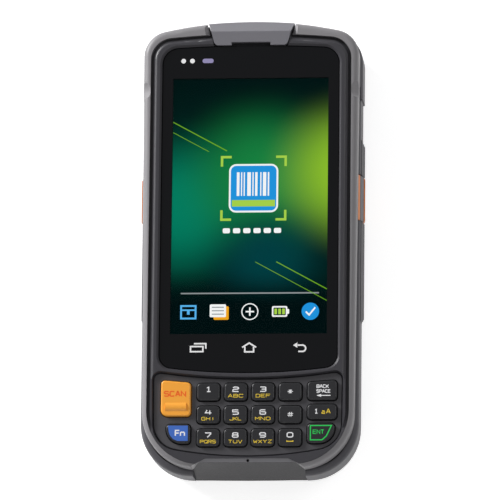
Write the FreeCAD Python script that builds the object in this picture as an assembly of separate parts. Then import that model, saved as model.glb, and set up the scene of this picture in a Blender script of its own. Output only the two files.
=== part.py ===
import FreeCAD, Part
import math
import os
from FreeCAD import Vector

# Portable barcode data terminal, lying on its back.
# +Z comes out of the screen, +Y runs to the scanner end, +X is to the right seen from the front.
# The origin is on the back face, at the middle of the length and the width. Millimetres.

# Display, which the front is built round
activeWide = 51.84
activeLong = 86.4
lcdBorder = 1.7            # rim of the display round its lit area
lcdThick = 3.4
trayWall = 0.3
trayGap = 0.1
trayClear = 0.2            # between the tray and the housing
trayLip = 0.4              # how far the tray stops below the glass
midframeThick = 1.2
midframePast = 6.0         # beyond the display at its top end
flexHalf = 18.0            # slot for the display's cable
flexUp = 12.0
flexTall = 14.0

# Margins, seen from the front, from the lit area outwards
glassSideMargin = 3.58
glassTopMargin = 11.1
glassLowMargin = 13.0      # holds the three touch icons
glassCapGap = 0.1
glassPadGap = 2.1          # bridge between the glass and the keypad
padLong = 25.5
padSideMargin = 2.2
chinDeep = 3.9             # from the keypad panel to the bumper's bottom end
chinStep = 1.7             # the rear shell reaches further down than the bumper
ridgeWidth = 2.85
grooveWidth = 1.15         # dark groove between the bumper and the ridge
bumperWidth = 2.5          # bumper seen from the front, at the top of the sides
bumperSideLow = 1.4        # and at their bottom
bumperTopWidth = 4.4       # at the top end
bumperLowWidth = 1.0       # and at the chin
rearFlange = 0.35          # how far the rear shell stands out past the bumper at each side
frontTaper = 1.2           # half width lost from the top corners to the bottom ones
rearTaper = 0.2
capReach = 8.4             # from the cap's low edge to the end of the housings
capProud = 0.1

# Outline curves
topDrop = 4.8              # how far the top edge falls from the middle to the side
innerTopDrop = 1.95        # the same for the bumper's inner edge
bottomRise = 0.7           # how far the bottom edge rises from the middle to the side
rearTopCorner = 10.0
rearBottomCorner = 17.2
frontTopCorner = 8.8
frontBottomCorner = 18.4
innerTopCorner = 7.3
innerBottomCorner = 18.0
glassTopDrop = 1.0
glassBottomRise = 2.1
glassTopCorner = 5.4
glassBottomCorner = 4.4
padTopRise = 2.6           # the panel's top edge is higher at its ends
padBottomRise = 3.8
padTopCorner = 2.4
padBottomCorner = 8.8
padTaper = 0.3

# Walls
backWall = 2.0
sideWall = 2.2
housingSkin = 2.0          # front housing skin over its inner space
skinGap = 0.05             # between the front housing and the bumper round it

# Stack from the back to the front
coverRecess = 0.35
coverThick = 2.0
packThick = 7.0
packAir = 0.35             # between the battery pack and the roof of its bay
bayWall = 1.2
boardAir = 1.2             # under the main board
mainThick = 1.0
canTall = 1.8
canAir = 1.5               # from the shield cans to the rear shell's rim
sealThick = 0.5            # seal between the two housings
frontDeep = 7.1            # from the seal to the glass
bumperOverGlass = 0.3
ridgeOverGlass = 0.7
capOverGlass = 1.2
panelUnderGlass = 0.65
keyOverPanel = 1.1
grooveDeep = 1.9

# Rounding
backRound = 5.0
shoulderRound = 1.9
bumperRound = 2.1
ridgeRound = 1.25
glassThick = 1.1
glassBevel = 0.9
glassEdge = 0.2
glassGap = 0.15            # round the glass edge
grooveShort = 10.0         # the groove runs out this far past the panel's top edge
grooveFade = 9.0

# Keypad
padGap = 0.2
padLedge = 0.5
panelThick = 1.5
panelBevel = 0.5
panelEdge = 0.25
keyRound = 0.55
keyGap = 0.3
keyFlange = 0.55
flangeThick = 1.0
flangeDrop = 0.2           # flange below the panel at rest
keyTravel = 0.5
keyRest = 0.05             # left over the dome when a key is fully down
keyCorner = 1.3
columnPitch = 9.0
gridShift = 0.65           # middle of the number keys, right of the body's middle
rowPitch = 7.6
firstRowDrop = 4.3         # first row of keys below the panel's top edge
keyWide = 7.6
keyTall = 5.9
leftGap = 2.0              # between the number keys and the keys at each side
rightGap = 1.8
scanWide = 9.9
scanAbove = 4.0            # above the middle of the first row
scanBelow = 8.1
scanTilt = 0.9             # its top edge falls this much towards the middle
scanRib = 0.45             # rib across the scan key
scanRibUp = 3.1
scanRibRadius = 2.4
scanRibEnd = 1.5
fnWide = 8.1
fnAbove = 4.5
fnBelow = 2.1
backWide = 9.8
backAbove = 3.9
backBelow = 2.9
backTilt = 0.7             # its top edge falls this much towards the middle
shiftWide = 9.7
shiftAbove = 3.4
shiftBelow = 1.7
enterWide = 9.1
enterAbove = 4.6
enterBelow = 2.0
wideCorner = 5.2           # outer lower corner of the two lowest outer keys
scanCorner = 2.3           # outer lower corner of the scan key

# Keypad stack under the keys
matThick = 0.7
matRim = 0.4
matGap = 0.2
domeTall = 1.1
domeFoot = 2.5
domeHead = 1.8
snapTall = 0.4
snapRadius = 2.0
snapGap = 0.05
boardThick = 1.0
boardEdge = 0.6

# Scanner cap at the top end
capSlope = 3.8             # length of its sloping end
capLowHalf = 12.1
capCreaseHalf = 13.3
capHighHalf = 14.6
capEdgeDrop = 0.35
capEndDrop = 3.2
capBottom = 4.5
capPlate = 2.3
capWall = 2.2
capGap = 0.25
capRound = 0.5
capCorner = 1.6            # its two low corners
shoulderGap = 0.7          # gap between the cap and each shoulder
shoulderDeep = 2.0
shoulderBevel = 1.4        # bright facet at the end of each shoulder
shoulderBevelTall = 1.2
windowHalf = 10.5
windowTall = 10.0
windowThick = 1.2
windowLap = 0.85           # the pane behind the cap's edge
windowClear = 0.15
earHalf = 6.5
earWide = 1.0
earDeep = 4.2              # receiver behind the slot
earTall = 2.4
meshThick = 0.5
meshClear = 0.1

# Side triggers and grip rails
triggerUp = 4.2            # middle of the triggers above the middle of the display
triggerLong = 15.2
triggerTall = 8.3
triggerUnderRim = 0.5
triggerProud = 1.105
triggerDeep = 4.25         # from the face to the inside of the flange
triggerGap = 0.3
triggerTravel = 0.6
triggerFlange = 0.8
triggerBarLow = 3.3        # grey bar on each trigger, above its lower edge
triggerBarTall = 3.2
triggerBarDrop = 0.35
triggerBarLean = 0.7       # the bar leans in towards the front
triggerBarGroove = 0.3
triggerBevel = 0.5
switchLong = 2.6
switchTall = 2.4
railProud = 0.95           # at its lower edge
railLean = 0.75            # it leans in towards the front
railDeep = 0.9
railTall = 5.4
railUnderRim = 2.4
railRockerGap = 1.6
railDoorGap = 3.0
railTaper = 4.0
railTaperDeep = 2.4
padProud = 0.45
padLow = 4.0
padUnderRim = 1.2
padRockerGap = 0.9
padPastCap = 4.4
padEdge = 0.5
padInset = 1.0             # how deep the corner pads sit in the shell
dentPastRocker = -0.4      # the dents start beside the rocker's end
dentLong = 5.5
dentDeep = 0.9             # below the rounded edge

# Power button and volume rocker
powerPastPad = 7.0
powerWide = 8.0
powerTall = 4.6
powerUnderRim = 8.6
buttonProud = 0.25
buttonGap = 0.3
buttonFlange = 0.7
buttonThick = 1.0
buttonSeat = 0.2
rockerDown = 31.1          # middle of the rocker below the end of the housings
rockerLong = 10.4
rockerTall = 4.8
rockerUnderRim = 8.2
rockerThick = 2.6
rockerPinDeep = 1.7
rockerPinRadius = 0.5
rockerBore = 0.55
rockerPinBite = 1.6
pinFit = 0.03

# Battery module in the back
baySideMargin = 10.15
bayUp = 13.7               # from the bottom end to the bay
bayLong = 70.0
bayCorner = 4.0
coverGap = 0.25
coverEdge = 0.4
packSideGap = 0.6
packScrewGap = 6.0
packGap = 0.8
packPlugGap = 0.4
packEdge = 0.8
packCorner = 2.5
coinIn = 6.0               # coin screws, from the bay's side
coinUp = 5.6               # and from its lower end
coinHead = 3.7
coinHeadThick = 1.1
coinHeadDrop = 0.1
coinShank = 1.45
coinRoofGap = 1.3
coinGap = 0.15
coinSlotWide = 1.2
coinSlotDeep = 0.6
coinBoss = 3.2
fingerRibs = 5
fingerPitch = 2.6
fingerHalf = 9.0
fingerDown = 10.0
cellPlugHalf = 7.0
cellPlugLow = 4.0
cellPlugTall = 4.0

# Case screws
screwInset = 5.75
screwTopDown = 28.4
screwTriggerGap = 7.2
screwDoorGap = 4.5
screwHead = 1.95
screwHeadThick = 1.6
screwSeat = 6.0
screwShank = 1.0
screwGap = 0.1
screwTipGap = 0.3
socketRadius = 0.75
bossRadius = 3.0
bossWebHalf = 0.8
frontBoss = 2.0

# Boards and inner pieces
mainSideGap = 0.6          # between the main board and the screw bosses
mainTopDown = 22.4
mainPastDoor = 2.0
standRadius = 1.6
standInset = 3.5
wingSide = 3.5             # board either side of the port
canGap = 4.0
canWide = 22.0

# Scan engine
engineHalf = 10.8
engineLong = 14.0
engineUnderWindow = 1.3
engineTall = 11.2
engineGap = 1.0
bracketThick = 0.8
bracketTall = 6.0
eyeRadius = 2.6
eyeDeep = 1.0

# Camera, flash, speaker and dock contacts in the back
cameraDown = 25.4
cameraRadius = 4.2
cameraPane = 0.8
cameraBoardGap = 4.0
flashSide = 11.0
flashRadius = 1.9
lensFit = 0.1
lensRecess = 0.35
speakerSide = 13.0
speakerUp = 9.4
speakerWide = 17.0
speakerLong = 5.6
speakerTall = 4.2
grillSlots = 6
grillPitch = 2.4
grillHalf = 0.5
grillReach = 2.4
contactCount = 6
contactPitch = 2.6
contactWide = 1.6
contactLong = 4.4

# Port door on the left side
doorUp = 37.7              # middle of the door above the bottom end
doorLong = 21.0
doorUnderRim = 2.2
doorTall = 7.8
doorThick = 1.5
doorGap = 0.25
doorPinDeep = 0.825
doorPinUp = 0.5
doorPinRadius = 0.55
doorBore = 0.6
knuckleRadius = 1.1
knuckleLong = 5.0
knuckleRoom = 1.0
armHalf = 0.75
usbHalf = 4.5
usbTall = 3.2
usbDeep = 5.6
usbSkin = 0.5
usbDoorGap = 0.9
usbClear = 0.4

# Chin: a flat guard in the middle, which laps down over the rear shell
guardUp = 3.0              # its top edge above the bumper's bottom end
guardTopHalf = 13.6
guardLowHalf = 18.5
guardSpread = 2.5          # length over which it widens
guardDrop = 0.2            # its top edge below the bumper
guardBand = 1.25           # bright band along its top edge
guardBandDrop = 0.7
guardFoot = 0.4            # its foot stands this far in from the rear shell's end
guardLow = 3.2
guardFootBevel = 0.6
guardThick = 1.8
guardGap = 0.15
micX = 0.3
micUp = 2.35
micRadius = 0.45
micBody = 0.9
micBodyUp = 4.8
micTall = 1.2
micDuct = 0.4
micDuctTall = 0.6

# Places along the length
overallLong = (chinStep + chinDeep + padLong + glassPadGap + glassLowMargin + activeLong
               + glassTopMargin + glassCapGap + capReach + capProud)
rearBottom = -overallLong / 2
frontBottom = rearBottom + chinStep
padBottom = frontBottom + chinDeep
padTop = padBottom + padLong
glassBottom = padTop + glassPadGap
screenY = glassBottom + glassLowMargin + activeLong / 2
glassTop = screenY + activeLong / 2 + glassTopMargin
capLowY = glassTop + glassCapGap
bodyTop = capLowY + capReach
capCreaseY = bodyTop - capSlope
grooveEnd = padTop - grooveShort
firstRow = padTop - firstRowDrop
firstColumn = gridShift - 1.5 * columnPitch
triggerY = screenY + triggerUp
rockerY = bodyTop - rockerDown
doorY = rearBottom + doorUp
dentLow = rockerY + rockerLong / 2 + dentPastRocker
padStart = rockerY + rockerLong / 2 + padRockerGap
railTopY = rockerY - rockerLong / 2 - railRockerGap
railBottomY = doorY + doorLong / 2 + railDoorGap
bayBottom = rearBottom + bayUp
bayTop = bayBottom + bayLong
coinY = bayBottom + coinUp
packBottom = coinY + packScrewGap
screwYs = (bodyTop - screwTopDown, triggerY - triggerLong / 2 - screwTriggerGap,
           doorY + doorLong / 2 + screwDoorGap)
mainTop = bodyTop - mainTopDown
mainBottom = doorY - mainPastDoor
cameraY = bodyTop - cameraDown
speakerY = rearBottom + speakerUp
guardTopY = frontBottom + guardUp
guardFootY = rearBottom + guardFoot
micY = frontBottom + micUp
micBodyY = frontBottom + micBodyUp

# Places across the width
glassHalf = activeWide / 2 + glassSideMargin
frontHalfTop = glassHalf + ridgeWidth + grooveWidth + bumperWidth
frontHalfBottom = frontHalfTop - frontTaper
rearHalfTop = frontHalfTop + rearFlange
rearHalfBottom = rearHalfTop - rearTaper
padHalf = frontHalfBottom - bumperSideLow - padSideMargin
padEndX = capHighHalf + padPastCap
powerX = padEndX + powerPastPad
bayHalf = rearHalfBottom - baySideMargin
packHalf = bayHalf - packSideGap
coinX = bayHalf - coinIn
screwX = rearHalfTop - screwInset
mainHalf = screwX - bossRadius - mainSideGap

# Heights above the back face
bayRoof = coverRecess + coverThick + packThick + packAir
boardLow = bayRoof + bayWall + boardAir
rearRim = boardLow + mainThick + canTall + canAir
frontRim = rearRim + sealThick
glassHigh = frontRim + frontDeep
ledgeHigh = glassHigh - glassThick
bumperHigh = glassHigh + bumperOverGlass
ridgeHigh = glassHigh + ridgeOverGlass
capHigh = glassHigh + capOverGlass
capEdgeHigh = capHigh - capEdgeDrop
capEndHigh = capHigh - capEndDrop
grooveFloor = bumperHigh - grooveDeep
panelHigh = glassHigh - panelUnderGlass
panelLow = panelHigh - panelThick
keyHigh = panelHigh + keyOverPanel
skinLow = ledgeHigh - housingSkin
triggerHigh = rearRim - triggerUnderRim
triggerLow = triggerHigh - triggerTall
barLow = triggerLow + triggerBarLow
barHigh = barLow + triggerBarTall
railHigh = rearRim - railUnderRim
railLow = railHigh - railTall
padHigh = rearRim - padUnderRim
powerLow = rearRim - powerUnderRim
rockerLow = rearRim - rockerUnderRim
doorHigh = rearRim - doorUnderRim
doorLow = doorHigh - doorTall
doorPinZ = doorLow + doorPinUp
windowHighZ = rearRim + 0.2
windowLow = windowHighZ - windowTall
engineLow = windowLow - engineUnderWindow
coinTip = bayRoof - coinRoofGap
screwTip = skinLow - screwTipGap
guardHigh = bumperHigh - guardDrop
beyond = 120.0             # past every piece, for cutting tools


# General helpers

def box(x0, x1, y0, y1, z0, z1):
    return Part.makeBox(x1 - x0, y1 - y0, z1 - z0, Vector(x0, y0, z0))


def rod(x, y, z0, z1, radius):
    return Part.makeCylinder(radius, z1 - z0, Vector(x, y, z0))


def rodAlongY(x, z, y0, y1, radius):
    return Part.makeCylinder(radius, y1 - y0, Vector(x, y0, z), Vector(0, 1, 0))


def extrudeXY(points, z0, z1):
    wire = Part.makePolygon([Vector(x, y, z0) for x, y in points + points[:1]])
    return Part.Face(wire).extrude(Vector(0, 0, z1 - z0))


def extrudeYZ(points, x0, x1):
    wire = Part.makePolygon([Vector(x0, y, z) for y, z in points + points[:1]])
    return Part.Face(wire).extrude(Vector(x1 - x0, 0, 0))


def extrudeXZ(points, y0, y1):
    wire = Part.makePolygon([Vector(x, y0, z) for x, z in points + points[:1]])
    return Part.Face(wire).extrude(Vector(0, y1 - y0, 0))


def uprightEdges(shape):
    found = []
    for edge in shape.Edges:
        ends = [vertex.Point for vertex in edge.Vertexes]
        if len(ends) == 2 and abs(ends[0].x - ends[1].x) < 1e-6 and abs(ends[0].y - ends[1].y) < 1e-6:
            found.append(edge)
    return found


def edgesAtHeight(shape, z):
    return [edge for edge in shape.Edges
            if abs(edge.BoundBox.ZMin - z) < 1e-4 and abs(edge.BoundBox.ZMax - z) < 1e-4]


def roundedBox(x0, x1, y0, y1, z0, z1, corner):
    block = box(x0, x1, y0, y1, z0, z1)
    return block.makeFillet(corner, uprightEdges(block))


def mirrorX(shape):
    return shape.mirror(Vector(0, 0, 0), Vector(1, 0, 0))


def save(name, shape):
    shape.exportStep("parts/" + name + ".step")


class Outline:
    # A rounded plan outline: curved top and bottom edges, tapering sides, four rounded corners.

    def __init__(self, halfTop, halfBottom, top, topDrop, bottom, bottomRise, topCorner, bottomCorner):
        self.halfTop = halfTop
        self.halfBottom = halfBottom
        self.top = top
        self.topDrop = topDrop
        self.bottom = bottom
        self.bottomRise = bottomRise
        self.topCorner = topCorner
        self.bottomCorner = bottomCorner

    def grow(self, extra):
        return Outline(self.halfTop + extra, self.halfBottom + extra, self.top + extra, self.topDrop,
                       self.bottom - extra, self.bottomRise,
                       self.topCorner + extra, self.bottomCorner + extra)

    def halfAt(self, y):
        share = (y - self.bottom) / (self.top - self.bottom)
        return self.halfBottom + (self.halfTop - self.halfBottom) * share

    def sharpWire(self, z):
        topLeft = Vector(-self.halfTop, self.top - self.topDrop, z)
        topRight = Vector(self.halfTop, self.top - self.topDrop, z)
        lowLeft = Vector(-self.halfBottom, self.bottom + self.bottomRise, z)
        lowRight = Vector(self.halfBottom, self.bottom + self.bottomRise, z)
        topEdge = Part.Arc(topLeft, Vector(0, self.top, z), topRight).toShape()
        lowEdge = Part.Arc(lowRight, Vector(0, self.bottom, z), lowLeft).toShape()
        return Part.Wire([topEdge, Part.LineSegment(topRight, lowRight).toShape(), lowEdge,
                          Part.LineSegment(lowLeft, topLeft).toShape()])

    def prism(self, z0, z1):
        solid = Part.Face(self.sharpWire(z0)).extrude(Vector(0, 0, z1 - z0))
        upper = [edge for edge in uprightEdges(solid) if edge.CenterOfMass.y > 0.5 * (self.top + self.bottom)]
        solid = solid.makeFillet(self.topCorner, upper)
        lower = [edge for edge in uprightEdges(solid)
                 if abs(edge.CenterOfMass.y - (self.bottom + self.bottomRise)) < 1e-3]
        return solid.makeFillet(self.bottomCorner, lower)

    def wire(self, z):
        # The rounded outline at height z, taken from the bottom face of a thin prism.
        solid = self.prism(z, z + 1.0)
        faces = [face for face in solid.Faces if abs(face.BoundBox.ZMax - z) < 1e-4]
        return faces[0].OuterWire

    def flare(self, z0, z1, spread):
        # A bevelled plug that widens by the spread from z0 to z1.
        return Part.makeLoft([self.wire(z0), self.grow(spread).wire(z1)], True, True)


rearLine = Outline(rearHalfTop, rearHalfBottom, bodyTop, topDrop, rearBottom, bottomRise,
                   rearTopCorner, rearBottomCorner)
frontLine = Outline(frontHalfTop, frontHalfBottom, bodyTop, topDrop, frontBottom, bottomRise,
                    frontTopCorner, frontBottomCorner)
innerLine = Outline(frontHalfTop - bumperWidth, frontHalfBottom - bumperSideLow, bodyTop - bumperTopWidth,
                    innerTopDrop, frontBottom + bumperLowWidth, bottomRise, innerTopCorner,
                    innerBottomCorner)
ridgeLine = Outline(innerLine.halfTop - grooveWidth, innerLine.halfBottom - grooveWidth,
                    innerLine.top - grooveWidth, innerTopDrop, innerLine.bottom, bottomRise,
                    innerLine.topCorner - grooveWidth, innerLine.bottomCorner)
glassLine = Outline(glassHalf, glassHalf, glassTop, glassTopDrop, glassBottom, glassBottomRise,
                    glassTopCorner, glassBottomCorner)
padLine = Outline(padHalf, padHalf - padTaper, padTop, -padTopRise, padBottom, padBottomRise,
                  padTopCorner, padBottomCorner)

# Places that follow the body's taper
triggerFace = rearLine.halfAt(triggerY) + triggerProud
triggerInner = triggerFace - triggerDeep
rockerPinX = rearLine.halfAt(rockerY) - rockerPinDeep
doorPinX = rearLine.halfAt(doorY) - doorPinDeep
doorInner = doorPinX - doorThick + 0.4


# Scanner cap

def capPlan(gap, z0, z1):
    highY = bodyTop + capProud
    half = [(capLowHalf + gap, capLowY - gap), (capCreaseHalf + gap, capCreaseY),
            (capHighHalf + gap, highY + gap)]
    left = [(-x, y) for x, y in half[::-1]]
    return extrudeXY(half + left, z0, z1)


def capProfile(low):
    points = [(capLowY, low), (capLowY, capEdgeHigh), (capCreaseY, capHigh),
              (bodyTop + capProud, capEndHigh), (bodyTop + capProud, low)]
    return extrudeYZ(points, -capHighHalf, capHighHalf)


def capPocket(gap):
    # The room that the cap needs: a plate over the front and a wall down the end.
    plate = capPlan(gap, capEdgeHigh - capPlate, capHigh + 1)
    wall = capPlan(gap, capBottom - gap, capHigh + 1).common(
        box(-beyond, beyond, bodyTop - capWall - gap, beyond, capBottom - gap, capHigh + 1))
    return plate.fuse(wall)


def baseWire(prism):
    low = min(prism.Faces, key=lambda face: face.CenterOfMass.z)
    return low.OuterWire


def shoulderCut():
    # The dark gap between the cap and the two shoulders of the bumper.
    floor = frontRim + shoulderDeep
    inner = capPlan(shoulderGap, floor, capHigh + 1)
    bevelLow = bumperHigh - shoulderBevelTall
    facet = Part.makeLoft([baseWire(capPlan(shoulderGap, bevelLow, capHigh)),
                           baseWire(capPlan(shoulderGap + shoulderBevel, bumperHigh, capHigh))], True, True)
    return inner.fuse(facet).common(box(-beyond, beyond, innerLine.top - shoulderDeep, beyond, floor,
                                        capHigh + 1))


def topCap():
    body = capPlan(0, capBottom, capHigh + 1)
    lowCorners = [edge for edge in uprightEdges(body) if abs(edge.CenterOfMass.y - capLowY) < capRound]
    body = body.makeFillet(capCorner, lowCorners).common(capProfile(capBottom))
    roundLine = rearLine.grow(capProud).prism(capBottom, capHigh + 1)
    body = body.common(roundLine)
    hollow = box(-beyond, beyond, capLowY - 1, bodyTop - capWall, capBottom - 1, capEdgeHigh - capPlate)
    body = body.cut(hollow)
    body = body.cut(box(-windowHalf, windowHalf, bodyTop - capWall - 1, beyond, windowLow, windowHighZ))
    lap = windowLap + windowClear
    recess = box(-windowHalf - lap, windowHalf + lap, bodyTop - capWall - 1, bodyTop - windowThick,
                 windowLow - lap, windowHighZ + lap)
    body = body.cut(recess)
    body = body.cut(box(-earHalf, earHalf, capLowY - 1, capLowY + earWide, 0, capHigh + 1))
    crease = [edge for edge in body.Edges
              if abs(edge.CenterOfMass.y - capCreaseY) < capRound and edge.CenterOfMass.z > capEdgeHigh
              and edge.BoundBox.XLength > capLowHalf]
    return body.makeFillet(capRound, crease)


def scanWindow():
    return box(-windowHalf - windowLap, windowHalf + windowLap, bodyTop - 2 * windowThick,
               bodyTop - windowThick, windowLow - windowLap, windowHighZ + windowLap)


def earpieceMesh():
    low = capEdgeHigh - capPlate
    return box(-earHalf + meshClear, earHalf - meshClear, capLowY + meshClear / 2,
               capLowY + earWide - meshClear, low, low + meshThick)


# Front housing, bumper and seal

def grooveTool():
    ring = innerLine.prism(grooveFloor, capHigh + 1).cut(ridgeLine.prism(grooveFloor - 1, capHigh + 2))
    limit = extrudeYZ([(grooveEnd, grooveFloor), (beyond, grooveFloor), (beyond, beyond),
                       (grooveEnd - grooveFade, beyond), (grooveEnd - grooveFade, bumperHigh + 0.3)],
                      -beyond, beyond)
    return ring.common(limit)


def guardPlan(gap, z0, z1):
    half = [(guardTopHalf + gap, guardTopY + gap), (guardLowHalf + gap, guardTopY - guardSpread),
            (guardLowHalf + gap, -beyond)]
    left = [(-x, y) for x, y in half[::-1]]
    return extrudeXY(half + left, z0, z1)


def guardFace():
    # The guard's outer face in profile: its top edge, the bright band and the long slope to its foot.
    bandLow = (guardTopY - guardBand, guardHigh - guardBandDrop)
    return [(guardTopY, guardHigh), bandLow, (guardFootY, guardLow + guardFootBevel)]


def guardSolid():
    top, bandLow, foot = guardFace()
    profile = [top, bandLow, foot, (guardFootY + guardFootBevel, guardLow),
               (guardFootY + guardThick, guardLow), (guardTopY, bandLow[1] - guardThick),
               (guardTopY, guardHigh)]
    return extrudeYZ(profile[:-1], -beyond, beyond).common(guardPlan(0, 0, beyond))


def guardOutside():
    # All that lies in front of the guard's outer face.
    top, bandLow, foot = guardFace()
    profile = [(guardTopY, beyond), top, bandLow, foot, (-beyond, foot[1]), (-beyond, beyond)]
    return extrudeYZ(profile, -beyond, beyond).common(guardPlan(0, 0, beyond))


def guardRoom(gap):
    bandLow = guardFace()[1]
    profile = [(guardTopY + gap, beyond), (guardTopY + gap, bandLow[1] - guardThick),
               (guardFootY + guardThick + gap, guardLow - gap), (-beyond, guardLow - gap), (-beyond, beyond)]
    return extrudeYZ(profile, -beyond, beyond).common(guardPlan(gap, 0, beyond))


def frontHousing():
    lower = innerLine.grow(-skinGap).prism(frontRim, bumperHigh)
    ridge = ridgeLine.prism(frontRim, ridgeHigh)
    ridge = ridge.makeFillet(ridgeRound, edgesAtHeight(ridge, ridgeHigh))
    chinCut = box(-beyond, beyond, -beyond, padTop, bumperHigh, beyond)
    body = lower.cut(grooveTool()).fuse(ridge.cut(chinCut))
    inner = innerLine.grow(-sideWall).prism(frontRim - 1, skinLow)
    body = body.cut(inner)
    body = body.cut(glassLine.grow(glassGap).prism(ledgeHigh, beyond))
    body = body.cut(glassLine.grow(glassGap).flare(glassHigh, ridgeHigh + 0.3, glassBevel))
    body = body.cut(trayRoom(trayClear, beyond))
    body = body.cut(padLine.grow(padGap).prism(panelLow, beyond))
    body = body.cut(padLine.grow(padGap).flare(panelHigh + 0.1, bumperHigh + 0.6, panelBevel))
    body = body.cut(padLine.grow(-padLedge).prism(0, beyond))
    body = body.cut(padLine.grow(padGap).prism(frontRim - 1, skinLow))
    for x, y in screwPlaces():
        boss = rod(x, y, frontRim, skinLow + housingSkin / 4, frontBoss)
        body = body.fuse(boss.common(innerLine.grow(-skinGap).prism(0, beyond)))
        body = body.cut(rod(x, y, frontRim - 1, screwTip + screwTipGap, screwShank + screwGap / 2))
    body = body.cut(capPocket(capGap))
    body = body.cut(guardOutside()).fuse(guardSolid())
    duct = frontRim + micDuct
    body = body.cut(rod(micX, micY, duct, beyond, micRadius))
    body = body.cut(box(micX - micRadius, micX + micRadius, micY, micBodyY, duct, duct + micDuctTall))
    return body.removeSplitter()


def dentTools(line, high, rounding):
    # A shallow scoop across the rounded outer edge at this height, in each long side.
    radius = 0.8 * dentLong
    slant = math.sqrt(0.5)
    out = radius - dentDeep - rounding * (math.sqrt(2) - 1)
    reach = 2 * dentLong
    x = line.halfAt(dentLow) + slant * (out - reach)
    z = high + slant * (out + reach)
    right = Part.makeCylinder(radius, 2 * reach, Vector(x, dentLow + dentLong / 2, z), Vector(1, 0, -1))
    return [right, mirrorX(right)]


def frontBumper():
    outer = frontLine.prism(frontRim, bumperHigh)
    outer = outer.makeFillet(bumperRound, edgesAtHeight(outer, bumperHigh))
    body = outer.cut(innerLine.prism(frontRim - 1, beyond))
    body = body.cut(capPocket(capGap)).cut(shoulderCut()).cut(guardRoom(skinGap))
    return body.cut(dentTools(frontLine, bumperHigh, bumperRound))


def housingSeal():
    line = frontLine.grow(-1.0)
    ring = line.prism(rearRim, frontRim).cut(line.grow(-1.1).prism(rearRim - 1, frontRim + 1))
    ring = ring.cut(capPocket(capGap)).cut(guardRoom(guardGap))
    return ring.cut(triggerRoom(0)).cut(mirrorX(triggerRoom(0)))


# Glass, display and inner frame

def touchGlass():
    glass = glassLine.prism(ledgeHigh, glassHigh)
    return glass.makeChamfer(glassEdge, edgesAtHeight(glass, glassHigh))


def lcdHalf():
    return activeWide / 2 + lcdBorder


def lcdSpan():
    low = screenY - activeLong / 2 - 2 * lcdBorder
    high = screenY + activeLong / 2 + lcdBorder
    return low, high


def lcdModule():
    low, high = lcdSpan()
    return box(-lcdHalf(), lcdHalf(), low, high, ledgeHigh - lcdThick, ledgeHigh)


def trayRoom(gap, top):
    # The space that the display's steel tray fills, with a gap round it.
    low, high = lcdSpan()
    out = trayWall + trayGap + gap
    return box(-lcdHalf() - out, lcdHalf() + out, low - out, high + out,
               ledgeHigh - lcdThick - trayWall - gap, top)


def lcdTray():
    low, high = lcdSpan()
    base = ledgeHigh - lcdThick
    tray = trayRoom(0, ledgeHigh - trayLip)
    return tray.cut(box(-lcdHalf() - trayGap, lcdHalf() + trayGap, low - trayGap, high + trayGap,
                        base, beyond))


def midframe():
    low, high = lcdSpan()
    top = ledgeHigh - lcdThick - trayWall
    plate = roundedBox(-lcdHalf(), lcdHalf(), low, high + midframePast, top - midframeThick, top,
                       2 * lcdBorder)
    slot = box(-flexHalf, flexHalf, low + flexUp, low + flexUp + flexTall, 0, beyond)
    return plate.cut(slot)


# Keypad

def keyTable():
    # name: left, right, bottom, top, then what differs: the tilt of the top edge, the outer lower
    # corner's radius, and the side, -1 or 1, that lies towards the panel's edge
    keys = {}
    grid = (("1", "2", "3", "star"), ("4", "5", "6", "hash"), ("7", "8", "9", "0"))
    for row, names in enumerate(grid):
        y = firstRow - row * rowPitch
        for column, name in enumerate(names):
            x = firstColumn + column * columnPitch
            keys["key_" + name] = (x - keyWide / 2, x + keyWide / 2, y - keyTall / 2, y + keyTall / 2,
                                   0, keyCorner, 1)
    leftEdge = firstColumn - keyWide / 2 - leftGap
    rightEdge = firstColumn + 3 * columnPitch + keyWide / 2 + rightGap
    middleRow = firstRow - rowPitch
    lastRow = firstRow - 2 * rowPitch
    keys["key_scan"] = (leftEdge - scanWide, leftEdge, firstRow - scanBelow, firstRow + scanAbove,
                        scanTilt, scanCorner, -1)
    keys["key_fn"] = (leftEdge - fnWide, leftEdge, lastRow - fnBelow, lastRow + fnAbove, 0, wideCorner, -1)
    keys["key_backspace"] = (rightEdge, rightEdge + backWide, firstRow - backBelow, firstRow + backAbove,
                             backTilt, keyCorner, 1)
    keys["key_shift"] = (rightEdge, rightEdge + shiftWide, middleRow - shiftBelow, middleRow + shiftAbove,
                         0, keyCorner, 1)
    keys["key_enter"] = (rightEdge, rightEdge + enterWide, lastRow - enterBelow, lastRow + enterAbove,
                         0, wideCorner, 1)
    return keys


def keyPlan(place, grow, z0, z1):
    x0, x1, y0, y1, tilt, corner, side = place
    x0, x1, y0, y1 = x0 - grow, x1 + grow, y0 - grow, y1 + grow
    leftTop = y1 - tilt if side > 0 else y1
    rightTop = y1 if side > 0 else y1 - tilt
    block = extrudeXY([(x0, y0), (x1, y0), (x1, rightTop), (x0, leftTop)], z0, z1)
    outer = x1 if side > 0 else x0
    special = [edge for edge in uprightEdges(block)
               if abs(edge.CenterOfMass.x - outer) < 1e-3 and abs(edge.CenterOfMass.y - y0) < 1e-3]
    block = block.makeFillet(corner + grow, special)
    corners = [(x1 if outer == x0 else x0, y0), (x1, rightTop), (x0, leftTop)]
    rest = [edge for edge in uprightEdges(block)
            if any(abs(edge.CenterOfMass.x - x) < 1e-3 and abs(edge.CenterOfMass.y - y) < 1e-3
                   for x, y in corners)]
    return block.makeFillet(keyCorner + grow, rest)


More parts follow.
